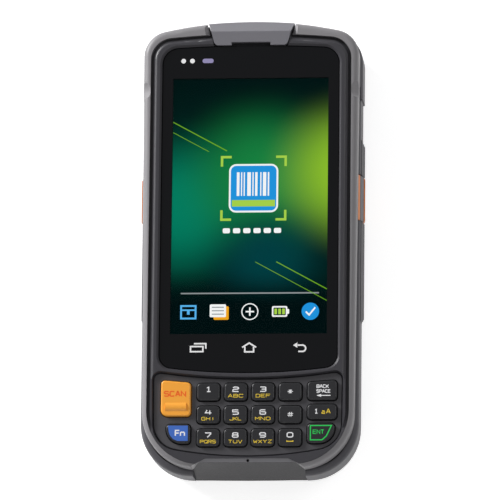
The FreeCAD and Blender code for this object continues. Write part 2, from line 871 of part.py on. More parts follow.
def keyCap(name, place):
    flangeTop = panelLow - flangeDrop
    cap = keyPlan(place, 0, flangeTop - flangeThick, keyHigh)
    cap = cap.makeFillet(keyRound, edgesAtHeight(cap, keyHigh))
    cap = cap.fuse(keyPlan(place, keyFlange, flangeTop - flangeThick, flangeTop))
    if name == "key_scan":
        x0, x1, y0 = place[:3]
        start = Vector(x0 + scanRibEnd, y0 + scanRibUp, keyHigh + scanRib - scanRibRadius)
        rib = Part.makeCylinder(scanRibRadius, x1 - x0 - 2 * scanRibEnd, start, Vector(1, 0, 0))
        cap = cap.fuse(rib.common(box(-beyond, beyond, -beyond, beyond, keyHigh - scanRib, beyond)))
    return cap.removeSplitter()


def keypadPanel(keys):
    panel = padLine.prism(panelLow, panelHigh)
    panel = panel.makeChamfer(panelEdge, edgesAtHeight(panel, panelHigh))
    for place in keys.values():
        panel = panel.cut(keyPlan(place, keyGap, panelLow - 1, panelHigh + 1))
    return panel


def keyCentre(place):
    return 0.5 * (place[0] + place[1]), 0.5 * (place[2] + place[3])


def keyFoot():
    return panelLow - flangeDrop - flangeThick


def matLow():
    # A relaxed dome stands a key's travel below the key.
    return keyFoot() - keyTravel - keyRest - domeTall - matThick


def snapLow():
    return matLow() - snapGap - snapTall


def keymat(keys):
    sheetTop = matLow() + matThick
    line = padLine.grow(-matGap)
    mat = line.prism(matLow(), sheetTop)
    rim = line.prism(matLow(), skinLow).cut(line.grow(-matRim).prism(matLow() - 1, beyond))
    domes = []
    for place in keys.values():
        x, y = keyCentre(place)
        domes.append(Part.makeCone(domeFoot, domeHead, domeTall, Vector(x, y, sheetTop)))
    return mat.fuse([rim] + domes).removeSplitter()


def keypadBoard():
    board = padLine.grow(-padLedge - boardEdge).prism(snapLow() - boardThick, snapLow())
    return board.cut(rod(micX, micBodyY, 0, beyond, micBody + glassGap))


def snapDomes(keys):
    domes = []
    for place in keys.values():
        x, y = keyCentre(place)
        domes.append(Part.makeCone(snapRadius, snapRadius * 0.6, snapTall, Vector(x, y, snapLow())))
    return Part.makeCompound(domes)


# Rear shell

def screwPlaces():
    return [(side * screwX, y) for y in screwYs for side in (-1, 1)]


def triggerRoom(gap):
    half = triggerLong / 2 + gap
    return box(triggerInner - sideWall, beyond, triggerY - half, triggerY + half, triggerLow - gap, frontRim)


def railSolid():
    # Right-hand grip rail, with the trigger's window left open.
    ring = rearLine.grow(railProud).flare(railLow, railHigh, -railLean)
    ring = ring.cut(rearLine.grow(-railDeep).prism(0, beyond))
    out = rearLine.halfTop + railProud + railDeep
    keep = extrudeXY([(out, railTopY - railTaper), (out - railTaperDeep, railTopY), (bayHalf, railTopY),
                      (bayHalf, railBottomY), (out - railTaperDeep, railBottomY),
                      (out, railBottomY + railTaper)], 0, beyond)
    return ring.common(keep).cut(triggerRoom(triggerGap))


def cornerPad(side):
    ring = rearLine.grow(padProud).prism(padLow, padHigh)
    ring = ring.makeChamfer(padEdge, edgesAtHeight(ring, padLow) + edgesAtHeight(ring, padHigh))
    ring = ring.cut(rearLine.grow(-padInset).prism(0, beyond))
    pad = ring.common(box(padEndX, beyond, padStart, beyond, 0, beyond))
    return pad.cut(powerRoom(buttonGap)) if side > 0 else mirrorX(pad)


def powerRoom(gap):
    return box(powerX - powerWide / 2 - gap, powerX + powerWide / 2 + gap, padStart, beyond,
               powerLow - gap, powerLow + powerTall + gap)


def rockerRoom(gap):
    inner = rearLine.halfAt(rockerY) - rockerThick - gap
    return box(-beyond, -inner, rockerY - rockerLong / 2 - gap, rockerY + rockerLong / 2 + gap,
               rockerLow - gap, rockerLow + rockerTall + gap)


def doorRoom(gap):
    return box(-beyond, -doorInner + gap, doorY - doorLong / 2 - gap,
               doorY + doorLong / 2 + gap, doorLow - knuckleRoom - gap, doorHigh + gap)


def bayTub():
    return roundedBox(-bayHalf - bayWall, bayHalf + bayWall, bayBottom - bayWall, bayTop + bayWall,
                      backWall / 2, bayRoof + bayWall, bayCorner + bayWall)


def bayHollow():
    return roundedBox(-bayHalf, bayHalf, bayBottom, bayTop, -1, bayRoof, bayCorner)


def grillTool():
    slots = []
    for index in range(grillSlots):
        x = speakerSide + (index - (grillSlots - 1) / 2) * grillPitch
        slots.append(roundedBox(x - grillHalf, x + grillHalf, speakerY - grillReach, speakerY + grillReach,
                                -1, backWall + 1, 0.9 * grillHalf))
    return slots


def contactPads():
    pads = []
    for index in range(contactCount):
        x = -speakerSide + (index - (contactCount - 1) / 2) * contactPitch
        pads.append(roundedBox(x - contactWide / 2, x + contactWide / 2, speakerY - contactLong / 2,
                               speakerY + contactLong / 2, lensRecess, backWall + 0.3,
                               0.25 * contactWide))
    return pads


def boardStands():
    # The lower stands keep clear of the charging port.
    stands = []
    for x in (-mainHalf + standInset, mainHalf - standInset):
        for y in (doorY + usbHalf + 2 * standRadius, mainTop - standInset):
            stands.append(rod(x, y, backWall, boardLow, standRadius))
    return stands


def rearShell():
    outer = rearLine.prism(0, rearRim)
    outer = outer.makeFillet(backRound, edgesAtHeight(outer, 0))
    outer = outer.makeFillet(shoulderRound, edgesAtHeight(outer, rearRim))
    inner = rearLine.grow(-sideWall).prism(backWall, beyond)
    inner = inner.makeFillet(backRound - sideWall, edgesAtHeight(inner, backWall))
    body = outer.cut(inner)
    added = [bayTub()] + boardStands()
    for x, y in screwPlaces():
        boss = rod(x, y, backWall / 2, rearRim, bossRadius)
        added.append(boss.common(rearLine.grow(-sideWall / 4).prism(0, beyond)))
        reach = math.copysign(rearLine.halfAt(y) - sideWall / 2, x)
        added.append(box(min(x, reach), max(x, reach), y - bossWebHalf, y + bossWebHalf,
                         2 * backWall, rearRim - 1))
    added.append(box(-engineHalf, engineHalf, bodyTop - capWall - engineGap - engineLong,
                     bodyTop - capWall - engineGap, backWall, engineLow - bracketThick))
    for side in (-1, 1):
        added.append(rod(side * coinX, coinY, bayRoof, bayRoof + bayWall, coinBoss))
    body = body.fuse(added)
    body = body.cut(bayHollow())
    for side in (-1, 1):
        boss = rod(side * coinX, coinY, coverRecess + coverThick + buttonGap, bayRoof + bayWall / 2, coinBoss)
        body = body.fuse(boss)
        body = body.cut(rod(side * coinX, coinY, 0, coinTip + coinSlotDeep, coinShank + coinGap))
    for x, y in screwPlaces():
        body = body.cut(rod(x, y, -1, screwSeat, screwHead + coinGap))
        body = body.cut(rod(x, y, screwSeat - 1, rearRim + 1, screwShank + screwGap))
    body = body.cut(triggerRoom(triggerGap)).cut(mirrorX(triggerRoom(triggerGap)))
    rail = railSolid()
    body = body.cut(rail).cut(mirrorX(rail))
    body = body.cut(cornerPad(1)).cut(cornerPad(-1))
    body = body.cut(powerRoom(buttonGap)).cut(rockerRoom(buttonGap)).cut(doorRoom(doorGap))
    body = body.cut(rod(-rockerPinX, rockerY, rockerLow - rockerPinBite,
                        rockerLow + rockerTall + rockerPinBite, rockerPinRadius + pinFit))
    pinReach = doorLong / 2 + rockerPinBite
    body = body.cut(rodAlongY(-doorPinX, doorPinZ, doorY - pinReach, doorY + pinReach,
                              doorPinRadius + pinFit))
    portHalf = usbTall / 2 + usbClear
    body = body.cut(box(-beyond, -usbFace() + usbDeep, doorY - usbHalf - usbClear, doorY + usbHalf + usbClear,
                        usbMiddle() - portHalf, usbMiddle() + portHalf))
    body = body.cut(capPocket(capGap)).cut(guardRoom(guardGap))
    paneHalf = windowHalf + windowLap + capGap + meshClear
    body = body.cut(box(-paneHalf, paneHalf, bodyTop - capWall - engineGap - engineLong / 2, beyond,
                        windowLow - windowLap - capGap - meshClear, beyond))
    body = body.cut(rod(0, cameraY, -1, backWall + 1, cameraRadius + lensFit))
    body = body.cut(rod(flashSide, cameraY, -1, backWall + 1, flashRadius + lensFit))
    body = body.cut(grillTool()).cut(contactPads())
    body = body.cut(dentTools(rearLine, rearRim, shoulderRound))
    return body.removeSplitter()


# Triggers, power button and volume rocker

def triggerCap():
    half = triggerLong / 2
    low = triggerY - half
    high = triggerY + half
    shoulder = frontLine.halfAt(triggerY)
    bar = triggerFace - triggerBarDrop
    dip = triggerBarGroove
    barTop = bar - triggerBarLean
    bevel = triggerBevel
    profile = [(triggerInner, triggerLow), (triggerFace - bevel, triggerLow),
               (triggerFace, triggerLow + 2 * bevel), (triggerFace, barLow - dip), (bar - dip, barLow - dip),
               (bar - dip, barLow), (bar, barLow + dip), (barTop, barHigh - dip), (barTop - dip, barHigh),
               (barTop - dip, barHigh + dip), (shoulder, triggerHigh), (triggerInner, triggerHigh)]
    cap = extrudeXZ(profile, low, high)
    ends = extrudeXY([(triggerInner, low), (triggerFace - bevel, low), (triggerFace, low + bevel),
                      (triggerFace, high - bevel), (triggerFace - bevel, high), (triggerInner, high)],
                     0, beyond)
    cap = cap.common(ends)
    flange = box(triggerInner, triggerInner + triggerFlange, low - triggerFlange, high + triggerFlange,
                 triggerLow - triggerFlange, triggerHigh)
    return cap.fuse(flange).removeSplitter()


def triggerSwitches():
    # Right-hand switch, just past the trigger's travel.
    face = triggerInner - triggerTravel - keyRest
    low = boardLow + mainThick
    return box(face - switchLong, face, triggerY - switchLong, triggerY + switchLong, low, low + switchTall)


def powerButton():
    # The cap fills its window in the wall. A flange behind the wall keeps it in.
    back = rearLine.grow(-sideWall - buttonThick - buttonSeat).prism(0, beyond)
    cap = rearLine.grow(buttonProud).prism(0, beyond).common(powerRoom(0)).cut(back)
    flange = rearLine.grow(-sideWall - buttonSeat).prism(0, beyond).common(powerRoom(buttonFlange)).cut(back)
    return cap.fuse(flange).removeSplitter()


def volumeRocker():
    block = rockerRoom(0).common(rearLine.grow(buttonProud).prism(0, beyond))
    return block.cut(rod(-rockerPinX, rockerY, 0, beyond, rockerBore))


def rockerPin():
    return rod(-rockerPinX, rockerY, rockerLow - rockerPinBite, rockerLow + rockerTall + rockerPinBite,
               rockerPinRadius)


# Battery module

def batteryCover():
    plate = roundedBox(-bayHalf + coverGap, bayHalf - coverGap, bayBottom + coverGap, bayTop - coverGap,
                       coverRecess, coverRecess + coverThick, bayCorner - coverGap)
    plate = plate.makeChamfer(coverEdge, edgesAtHeight(plate, coverRecess))
    for side in (-1, 1):
        plate = plate.cut(rod(side * coinX, coinY, -1, coverRecess + coinHeadDrop + coinHeadThick,
                              coinHead + coinGap))
        plate = plate.cut(rod(side * coinX, coinY, 0, bayRoof, coinShank + coinGap))
    for index in range(fingerRibs):
        y = bayTop - fingerDown - index * fingerPitch
        plate = plate.cut(roundedBox(-fingerHalf, fingerHalf, y - grillHalf, y + grillHalf,
                                     coverRecess - 1, coverRecess + coverEdge, 0.9 * grillHalf))
    return plate


def batteryPack():
    low = coverRecess + coverThick
    pack = roundedBox(-packHalf, packHalf, packBottom, bayTop - packGap - packPlugGap, low, low + packThick,
                      packCorner)
    return pack.makeFillet(packEdge, edgesAtHeight(pack, low + packThick))


def coinScrew(side):
    low = coverRecess + coinHeadDrop
    head = rod(side * coinX, coinY, low, low + coinHeadThick, coinHead)
    shank = rod(side * coinX, coinY, low, coinTip, coinShank)
    screw = head.fuse(shank)
    slot = box(side * coinX - coinHead, side * coinX + coinHead, coinY - coinSlotWide / 2,
               coinY + coinSlotWide / 2, low - 1, low + coinSlotDeep)
    return screw.cut(slot).removeSplitter()


def batteryContacts():
    return box(-cellPlugHalf, cellPlugHalf, bayTop - packGap, bayTop, cellPlugLow, cellPlugLow + cellPlugTall)


# Port door

def portDoor():
    half = doorLong / 2
    plate = box(-beyond, -doorInner, doorY - half, doorY + half, doorPinZ + knuckleRadius + 0.1, doorHigh)
    plate = plate.common(rearLine.prism(0, beyond))
    knuckles = []
    for offset in (-0.5 * doorLong + knuckleLong / 2, 0.5 * doorLong - knuckleLong / 2):
        y = doorY + offset
        barrel = rodAlongY(-doorPinX, doorPinZ, y - knuckleLong / 2, y + knuckleLong / 2, knuckleRadius)
        arm = box(-doorPinX - armHalf, -doorPinX + armHalf, y - knuckleLong / 2, y + knuckleLong / 2,
                  doorPinZ, doorPinZ + 2 * armHalf)
        knuckles += [barrel, arm]
    door = plate.fuse(knuckles)
    door = door.cut(rodAlongY(-doorPinX, doorPinZ, doorY - half - 1, doorY + half + 1, doorBore))
    nail = doorThick - 0.2
    grip = rodAlongY(-rearLine.halfAt(doorY) - 0.7 * nail, doorHigh - 1.2 * nail, doorY - 3 * nail,
                     doorY + 3 * nail, nail)
    return door.cut(grip).removeSplitter()


def doorPin():
    reach = doorLong / 2 + rockerPinBite - 0.2
    return rodAlongY(-doorPinX, doorPinZ, doorY - reach, doorY + reach, doorPinRadius)


def usbMiddle():
    return boardLow - usbTall / 2


def usbFace():
    return doorPinX - doorThick - usbDoorGap


def usbConnector():
    x1 = -usbFace()
    half = usbTall / 2
    z = usbMiddle()
    shell = box(x1, x1 + usbDeep, doorY - usbHalf, doorY + usbHalf, z - half, z + half)
    lengthwise = [edge for edge in shell.Edges if edge.BoundBox.XLength > 0.9 * usbDeep]
    shell = shell.makeFillet(0.8 * half, lengthwise)
    return shell.cut(box(x1 - 1, x1 + usbDeep - usbSkin, doorY - usbHalf + usbSkin, doorY + usbHalf - usbSkin,
                         z - half + usbSkin, z + half - usbSkin))


# Boards and the rest of the inside

def mainBoard():
    board = box(-mainHalf, mainHalf, mainBottom, mainTop, boardLow, boardLow + mainThick)
    wing = box(-usbFace() + usbClear, -mainHalf, doorY - usbHalf - wingSide, doorY + usbHalf + wingSide,
               boardLow, boardLow + mainThick)
    return board.fuse(wing).removeSplitter()


def shieldCans():
    low = boardLow + mainThick
    high = low + canTall
    y0 = triggerY - canWide / 2
    y1 = triggerY + canWide / 2
    cans = [box(-canWide, 0, y0, y1, low, high), box(canGap, canWide, y0, y1 - canGap, low, high),
            box(-canWide, canGap, y1 + canGap, mainTop - standRadius - standInset, low, high)]
    return Part.makeCompound(cans)


def screws():
    group = []
    for x, y in screwPlaces():
        head = rod(x, y, screwSeat - screwHeadThick, screwSeat, screwHead)
        shank = rod(x, y, screwSeat - 0.2, screwTip, screwShank)
        socket = rod(x, y, screwSeat - 2 * screwHeadThick, screwSeat - screwHeadThick / 2, socketRadius)
        group.append(head.fuse(shank).cut(socket).removeSplitter())
    return Part.makeCompound(group)


def scanEngine():
    y1 = bodyTop - capWall - engineGap
    z = engineLow + engineTall / 2
    body = box(-engineHalf, engineHalf, y1 - engineLong, y1, engineLow, engineLow + engineTall)
    eye = rodAlongY(-engineHalf / 3, z, y1 - eyeDeep, y1 + 1, eyeRadius)
    slot = box(engineHalf / 4, engineHalf - eyeRadius, y1 - eyeDeep, y1 + 1, z - eyeRadius, z + eyeRadius)
    return body.cut(eye).cut(slot)


def engineBracket():
    y1 = bodyTop - capWall - engineGap
    base = box(-engineHalf, engineHalf, y1 - engineLong, y1, engineLow - bracketThick, engineLow)
    wings = [box(side * engineHalf if side > 0 else -engineHalf - bracketThick,
                 engineHalf + bracketThick if side > 0 else -engineHalf,
                 y1 - engineLong, y1, engineLow - bracketThick, engineLow + bracketTall) for side in (-1, 1)]
    return base.fuse(wings).removeSplitter()


def cameraModule():
    return rod(0, cameraY, lensRecess + cameraPane, boardLow - cameraBoardGap, cameraRadius - lensFit)


def cameraWindowPiece():
    return rod(0, cameraY, lensRecess, lensRecess + cameraPane, cameraRadius)


def flashLens():
    return rod(flashSide, cameraY, lensRecess, backWall + cameraPane, flashRadius)


def speaker():
    y0 = speakerY - speakerLong / 2
    return roundedBox(speakerSide - speakerWide / 2, speakerSide + speakerWide / 2, y0, y0 + speakerLong,
                      backWall, backWall + speakerTall, speakerLong / 4)


def receiver():
    # Under the earpiece slot, against the housing.
    y0 = capLowY + earWide - earDeep
    return roundedBox(-earHalf, earHalf, y0, y0 + earDeep, skinLow - earTall, skinLow, 0.4 * earDeep)


def microphone():
    return rod(micX, micBodyY, frontRim, frontRim + micTall, micBody)


def buildAll():
    os.makedirs("parts", exist_ok=True)
    keys = keyTable()
    save("rear_shell", rearShell())
    save("front_housing", frontHousing())
    save("front_bumper", frontBumper())
    save("housing_seal", housingSeal())
    rail = railSolid()
    save("grip_rails", Part.makeCompound([rail, mirrorX(rail)]))
    save("corner_pads", Part.makeCompound([cornerPad(1), cornerPad(-1)]))
    save("scanner_cap", topCap())
    save("scan_window", scanWindow())
    save("earpiece_mesh", earpieceMesh())
    save("touch_glass", touchGlass())
    save("lcd_module", lcdModule())
    save("lcd_tray", lcdTray())
    save("midframe", midframe())
    save("keypad_panel", keypadPanel(keys))
    for name, place in keys.items():
        save(name, keyCap(name, place))
    save("silicone_keymat", keymat(keys))
    save("keypad_board", keypadBoard())
    save("snap_domes", snapDomes(keys))
    cap = triggerCap()
    save("side_trigger_right", cap)
    save("side_trigger_left", mirrorX(cap))
    switch = triggerSwitches()
    save("trigger_switches", Part.makeCompound([switch, mirrorX(switch)]))
    save("power_button", powerButton())
    save("volume_rocker", volumeRocker())
    save("rocker_pin", rockerPin())
    save("battery_cover", batteryCover())
    save("battery_pack", batteryPack())
    save("cover_screw_right", coinScrew(1))
    save("cover_screw_left", coinScrew(-1))
    save("battery_contacts", batteryContacts())
    save("port_door", portDoor())
    save("port_door_pin", doorPin())
    save("usb_connector", usbConnector())
    save("main_board", mainBoard())
    save("shield_cans", shieldCans())
    save("case_screws", screws())
    save("scan_engine", scanEngine())
    save("engine_bracket", engineBracket())
    save("camera_module", cameraModule())
    save("camera_window", cameraWindowPiece())
    save("flash_lens", flashLens())
    save("loudspeaker", speaker())
    save("earpiece_receiver", receiver())
    save("microphone", microphone())
    save("dock_contacts", Part.makeCompound(contactPads()))


buildAll()
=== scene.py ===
import math
import bmesh
import bpy
from mathutils import Matrix, Vector


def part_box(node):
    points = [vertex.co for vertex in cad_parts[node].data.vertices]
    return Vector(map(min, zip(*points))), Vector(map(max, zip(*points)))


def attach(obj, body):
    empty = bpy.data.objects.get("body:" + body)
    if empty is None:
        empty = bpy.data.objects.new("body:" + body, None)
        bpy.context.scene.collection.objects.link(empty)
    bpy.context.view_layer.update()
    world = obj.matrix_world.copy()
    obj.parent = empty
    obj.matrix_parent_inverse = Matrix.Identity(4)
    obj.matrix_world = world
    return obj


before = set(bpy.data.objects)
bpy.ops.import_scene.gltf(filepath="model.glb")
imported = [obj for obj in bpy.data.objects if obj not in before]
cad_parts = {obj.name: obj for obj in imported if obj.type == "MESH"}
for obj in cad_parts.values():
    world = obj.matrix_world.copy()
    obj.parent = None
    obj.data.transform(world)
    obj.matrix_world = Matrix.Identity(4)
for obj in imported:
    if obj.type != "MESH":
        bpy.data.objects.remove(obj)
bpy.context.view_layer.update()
mm = 0.001


# small helpers: colour, nodes, flat ink shapes

def toLinear(hexCode):
    # sRGB hex to the linear colour that the shaders take
    parts = [int(hexCode[i:i + 2], 16) / 255 for i in (1, 3, 5)]
    return tuple(c / 12.92 if c <= 0.04045 else ((c + 0.055) / 1.055) ** 2.4 for c in parts) + (1.0,)


def addNode(tree, kind, links=None, **settings):
    # one node, its settings, and what goes into its sockets: a value or another node's output
    node = tree.nodes.new(kind)
    for key, value in settings.items():
        setattr(node, key, value)
    for key, value in (links or {}).items():
        if isinstance(value, bpy.types.NodeSocket):
            tree.links.new(value, node.inputs[key])
        else:
            node.inputs[key].default_value = value
    return node


def newMaterial(name):
    material = bpy.data.materials.new(name)
    material.use_nodes = True
    material.node_tree.nodes.clear()
    return material, material.node_tree


def finishMaterial(tree, shader):
    addNode(tree, "ShaderNodeOutputMaterial", {"Surface": shader})


def paint(material, *nodeNames):
    for name in nodeNames:
        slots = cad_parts[name].data.materials
        slots.clear()
        slots.append(material)


mitre = {"leastCosine": 0.2, "longest": 1.1}    # a sharp corner's mitre stops at 1.1 widths


def addRibbon(mesh, points, width, low, high, closed=False):
    # a flat stroke with mitred corners, all in millimetres
    count = len(points)
    pairs = []
    for i, (x, y) in enumerate(points):
        before = points[i - 1] if (i > 0 or closed) else None
        after = points[(i + 1) % count] if (i < count - 1 or closed) else None
        steps = []
        if before is not None:
            steps.append(Vector((x - before[0], y - before[1])).normalized())
        if after is not None:
            steps.append(Vector((after[0] - x, after[1] - y)).normalized())
        along = sum(steps, Vector((0, 0)))
        along = along.normalized() if along.length > 1e-6 else steps[0]
        across = Vector((-along.y, along.x))
        square = Vector((-steps[0].y, steps[0].x))
        reach = min(0.5 * width / max(across.dot(square), mitre["leastCosine"]), mitre["longest"] * width)
        left = (x + across.x * reach, y + across.y * reach)
        right = (x - across.x * reach, y - across.y * reach)
        pairs.append((left, right))
    rings = []
    for left, right in pairs:
        rings.append([mesh.verts.new((left[0] * mm, left[1] * mm, low * mm)),
                      mesh.verts.new((right[0] * mm, right[1] * mm, low * mm)),
                      mesh.verts.new((right[0] * mm, right[1] * mm, high * mm)),
                      mesh.verts.new((left[0] * mm, left[1] * mm, high * mm))])
    spans = count if closed else count - 1
    for i in range(spans):
        a, b = rings[i], rings[(i + 1) % count]
        for k in range(4):
            mesh.faces.new((a[k], a[(k + 1) % 4], b[(k + 1) % 4], b[k]))
    if not closed:
        mesh.faces.new(rings[0][::-1])
        mesh.faces.new(rings[-1])


def addPlate(mesh, outline, low, high):
    # a flat plate with this outline, in millimetres
    bottom = [mesh.verts.new((x * mm, y * mm, low * mm)) for x, y in outline]
    top = [mesh.verts.new((x * mm, y * mm, high * mm)) for x, y in outline]
    mesh.faces.new(bottom[::-1])
    mesh.faces.new(top)
    count = len(outline)
    for i in range(count):
        j = (i + 1) % count
        mesh.faces.new((bottom[i], bottom[j], top[j], top[i]))


def roundedOutline(x0, x1, y0, y1, corner, steps=6):
    points = []
    for cx, cy, start in ((x1 - corner, y1 - corner, 0), (x0 + corner, y1 - corner, 90),
                          (x0 + corner, y0 + corner, 180), (x1 - corner, y0 + corner, 270)):
        for i in range(steps + 1):
            angle = math.radians(start + 90 * i / steps)
            points.append((cx + corner * math.cos(angle), cy + corner * math.sin(angle)))
    return points


def circleOutline(cx, cy, radius, steps=32):
    turns = [2 * math.pi * i / steps for i in range(steps)]
    return [(cx + radius * math.cos(turn), cy + radius * math.sin(turn)) for turn in turns]


def finishPiece(name, mesh, material, body):
    bmesh.ops.recalc_face_normals(mesh, faces=mesh.faces)
    data = bpy.data.meshes.new(name)
    mesh.to_mesh(data)
    mesh.free()
    data.materials.append(material)
    piece = bpy.data.objects.new(name, data)
    bpy.context.scene.collection.objects.link(piece)
    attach(piece, body)
    return piece


# materials

noiseSpread = {"From Min": 0.3, "From Max": 0.7}    # where nearly all values of a noise texture lie
# how far the roughness goes below and above its middle value, and how dark a metal's marks are beside it
uneven = {"plasticLess": 0.05, "plasticMore": 0.06, "metalLess": 0.08, "metalMore": 0.1, "metalMark": 0.86}


def mouldedPlastic(name, colour, roughness, grain, depth, mottle=0.06, wide=9.0):
    # grain: spacing of the spark-eroded texture; depth: its height; wide: size of the faint cloudiness
    material, tree = newMaterial(name)
    place = addNode(tree, "ShaderNodeTexCoord").outputs["Object"]
    fine = addNode(tree, "ShaderNodeTexNoise", {"Vector": place, "Scale": 1 / (grain * mm), "Detail": 3.0,
                                                "Roughness": 0.6}).outputs["Fac"]
    broad = addNode(tree, "ShaderNodeTexNoise", {"Vector": place, "Scale": 1 / (wide * mm), "Detail": 4.0,
                                                 "Roughness": 0.55}).outputs["Fac"]
    base = toLinear(colour)
    dark = tuple(c * (1 - mottle) for c in base[:3]) + (1.0,)
    light = tuple(min(c * (1 + mottle), 1.0) for c in base[:3]) + (1.0,)
    tint = addNode(tree, "ShaderNodeMix", {"Factor": broad, 6: dark, 7: light}, data_type="RGBA").outputs[2]
    speck = addNode(tree, "ShaderNodeMapRange", {"Value": fine, **noiseSpread,
                                                 "To Min": roughness - uneven["plasticLess"],
                                                 "To Max": roughness + uneven["plasticMore"]})
    bump = addNode(tree, "ShaderNodeBump", {"Height": fine, "Strength": 1.0, "Distance": depth * mm})
    shader = addNode(tree, "ShaderNodeBsdfPrincipled", {
        "Base Color": tint, "Roughness": speck.outputs["Result"], "IOR": 1.5,
        "Normal": bump.outputs["Normal"]})
    finishMaterial(tree, shader.outputs["BSDF"])
    return material


def metalPart(name, colour, roughness, grain, depth, stretch=(1, 1, 1)):
    # stretch above 1 along an axis packs the marks closer that way, so they run across it
    material, tree = newMaterial(name)
    place = addNode(tree, "ShaderNodeTexCoord").outputs["Object"]
    drawn = addNode(tree, "ShaderNodeMapping", {"Vector": place, "Scale": stretch}).outputs["Vector"]
    marks = addNode(tree, "ShaderNodeTexNoise", {"Vector": drawn, "Scale": 1 / (grain * mm), "Detail": 4.0})
    marks = marks.outputs["Fac"]
    base = toLinear(colour)
    dark = tuple(uneven["metalMark"] * c for c in base[:3]) + (1.0,)
    tint = addNode(tree, "ShaderNodeMix", {"Factor": marks, 6: dark, 7: base}, data_type="RGBA").outputs[2]
    dull = addNode(tree, "ShaderNodeMapRange", {"Value": marks, "To Min": roughness - uneven["metalLess"],
                                                "To Max": roughness + uneven["metalMore"]})
    bump = addNode(tree, "ShaderNodeBump", {"Height": marks, "Strength": 1.0, "Distance": depth * mm})
    shader = addNode(tree, "ShaderNodeBsdfPrincipled", {
        "Base Color": tint, "Metallic": 1.0, "Roughness": dull.outputs["Result"],
        "Normal": bump.outputs["Normal"]})
    finishMaterial(tree, shader.outputs["BSDF"])
    return material


# the display's pixels are 0.108 mm apart, too fine to show in the render, so their grid is drawn at 0.22 mm
pixelGrid = {"pitch": 0.22, "dim": 0.94}


def screenInk(name, colour):
    # light from the display: one flat colour, with the faint pixel grid
    material, tree = newMaterial(name)
    place = addNode(tree, "ShaderNodeTexCoord").outputs["Object"]
    full = toLinear(colour)
    dim = tuple(pixelGrid["dim"] * c for c in full[:3]) + (1.0,)
    grid = addNode(tree, "ShaderNodeTexChecker", {"Vector": place, "Scale": 1 / (pixelGrid["pitch"] * mm),
                                                  "Color1": full, "Color2": dim})
    shader = addNode(tree, "ShaderNodeBsdfPrincipled", {
        "Base Color": (0.0, 0.0, 0.0, 1.0), "Roughness": 0.4, "Specular IOR Level": 0.0,
        "Emission Color": grid.outputs["Color"], "Emission Strength": 1.0})
    finishMaterial(tree, shader.outputs["BSDF"])
    return material


plastics = {
    "rearShell": "#504f54",
    "frontHousing": "#3b3a3f",
    "bumper": "#868487",
    "cap": "#77767c",
    "panel": "#4a494d",
    "key": "#28282b",
    "scanOrange": "#ffac3e",
    "cover": "#3a3a3d",
}

# in each line: name, colour, roughness, grain and its depth in mm, then mottle and the size of its clouds
# PC-ABS, moulded in a spark-eroded tool: an even matt grain that breaks up the highlights
rearAbs = mouldedPlastic("PcAbsSparkErodedGrey", plastics["rearShell"], 0.5, 0.45, 0.012)
# TPU overmould: softer and a little cloudy, with a silky sheen on its rounded edge
bumperTpu = mouldedPlastic("TpuOvermouldSilkyGrey", plastics["bumper"], 0.46, 0.6, 0.008, 0.05)
# PC-ABS from a finer tool: a soft, wide highlight on the cap's slopes
capAbs = mouldedPlastic("PcAbsSatinCapGrey", plastics["cap"], 0.4, 0.5, 0.006, 0.04)
# TPU with a coarse grip texture: dark, with hardly any gloss
railTpu = mouldedPlastic("TpuGripRailDark", "#48474b", 0.55, 0.8, 0.05)
# TPU pads: about the shell's grain, and a little paler than it
cornerTpu = mouldedPlastic("TpuCornerPadGrey", "#626166", 0.5, 0.6, 0.012)
# silicone rubber: dull and near black, so the seal reads as a dark line
sealSilicone = mouldedPlastic("SiliconeSealBlack", "#1c1c1e", 0.6, 0.5, 0.004)
# ABS panel: matt and even, so the keys stand out from it
panelAbs = mouldedPlastic("AbsKeypadPanelMatt", plastics["panel"], 0.48, 0.4, 0.008)
# polycarbonate keys: smooth satin, with a small bright line along each top edge
keyPc = mouldedPlastic("PolycarbonateKeySatin", plastics["key"], 0.38, 0.5, 0.004)
scanPc = mouldedPlastic("PolycarbonateKeyOrange", plastics["scanOrange"], 0.36, 0.5, 0.003, 0.03)
# PC-ABS cover: a coarse matt grain that hides scratches
coverAbs = mouldedPlastic("PcAbsBatteryCoverGrained", plastics["cover"], 0.55, 0.6, 0.03)
# PET shrink sleeve: thin, black and a little glossy
cellWrap = mouldedPlastic("PetCellSleeveBlack", "#232325", 0.35, 0.9, 0.004)
# TPU door: soft and dull
doorTpu = mouldedPlastic("TpuPortDoorDark", "#39383c", 0.6, 0.6, 0.02)
# silicone keymat: pale, dull and smooth
siliconeMat = mouldedPlastic("SiliconeKeymatGrey", "#8f8f92", 0.62, 0.8, 0.004)
# FR4 board under solder mask: green, and patchy where copper lies under it
boardFr4 = mouldedPlastic("Fr4SolderMaskGreen", "#14552f", 0.4, 1.2, 0.01, 0.15, 4.0)
# ABS of the parts inside: plain satin black
innerAbs = mouldedPlastic("AbsInnerPartBlack", "#242426", 0.5, 0.6, 0.006)
# frosted acrylic over the lamp: pale yellow with a fine frost
lampDiffuser = mouldedPlastic("PmmaLampFrosted", "#efe7b0", 0.3, 0.5, 0.01, 0.03)
# metals: name, colour, roughness, marks and their depth in mm, then how much closer they lie along each axis
# steel with black oxide, and steel pins with fine grinding marks
boltBlack = metalPart("SteelBlackOxideScrew", "#3a393b", 0.42, 0.5, 0.003)
pinSteel = metalPart("SteelGroundPin", "#c9c8c6", 0.3, 0.4, 0.002, (1, 6, 1))
# pressed steel: tin-plated cans with a soft shine, bright snap domes, and a tray with long rolling marks
canSteel = metalPart("SteelTinPlatedCan", "#c7c7c9", 0.35, 1.5, 0.003)
domeSteel = metalPart("StainlessSnapDome", "#cfcbc2", 0.25, 0.6, 0.002)
traySteel = metalPart("StainlessDisplayTray", "#bdbcba", 0.38, 0.8, 0.003, (8, 1, 1))
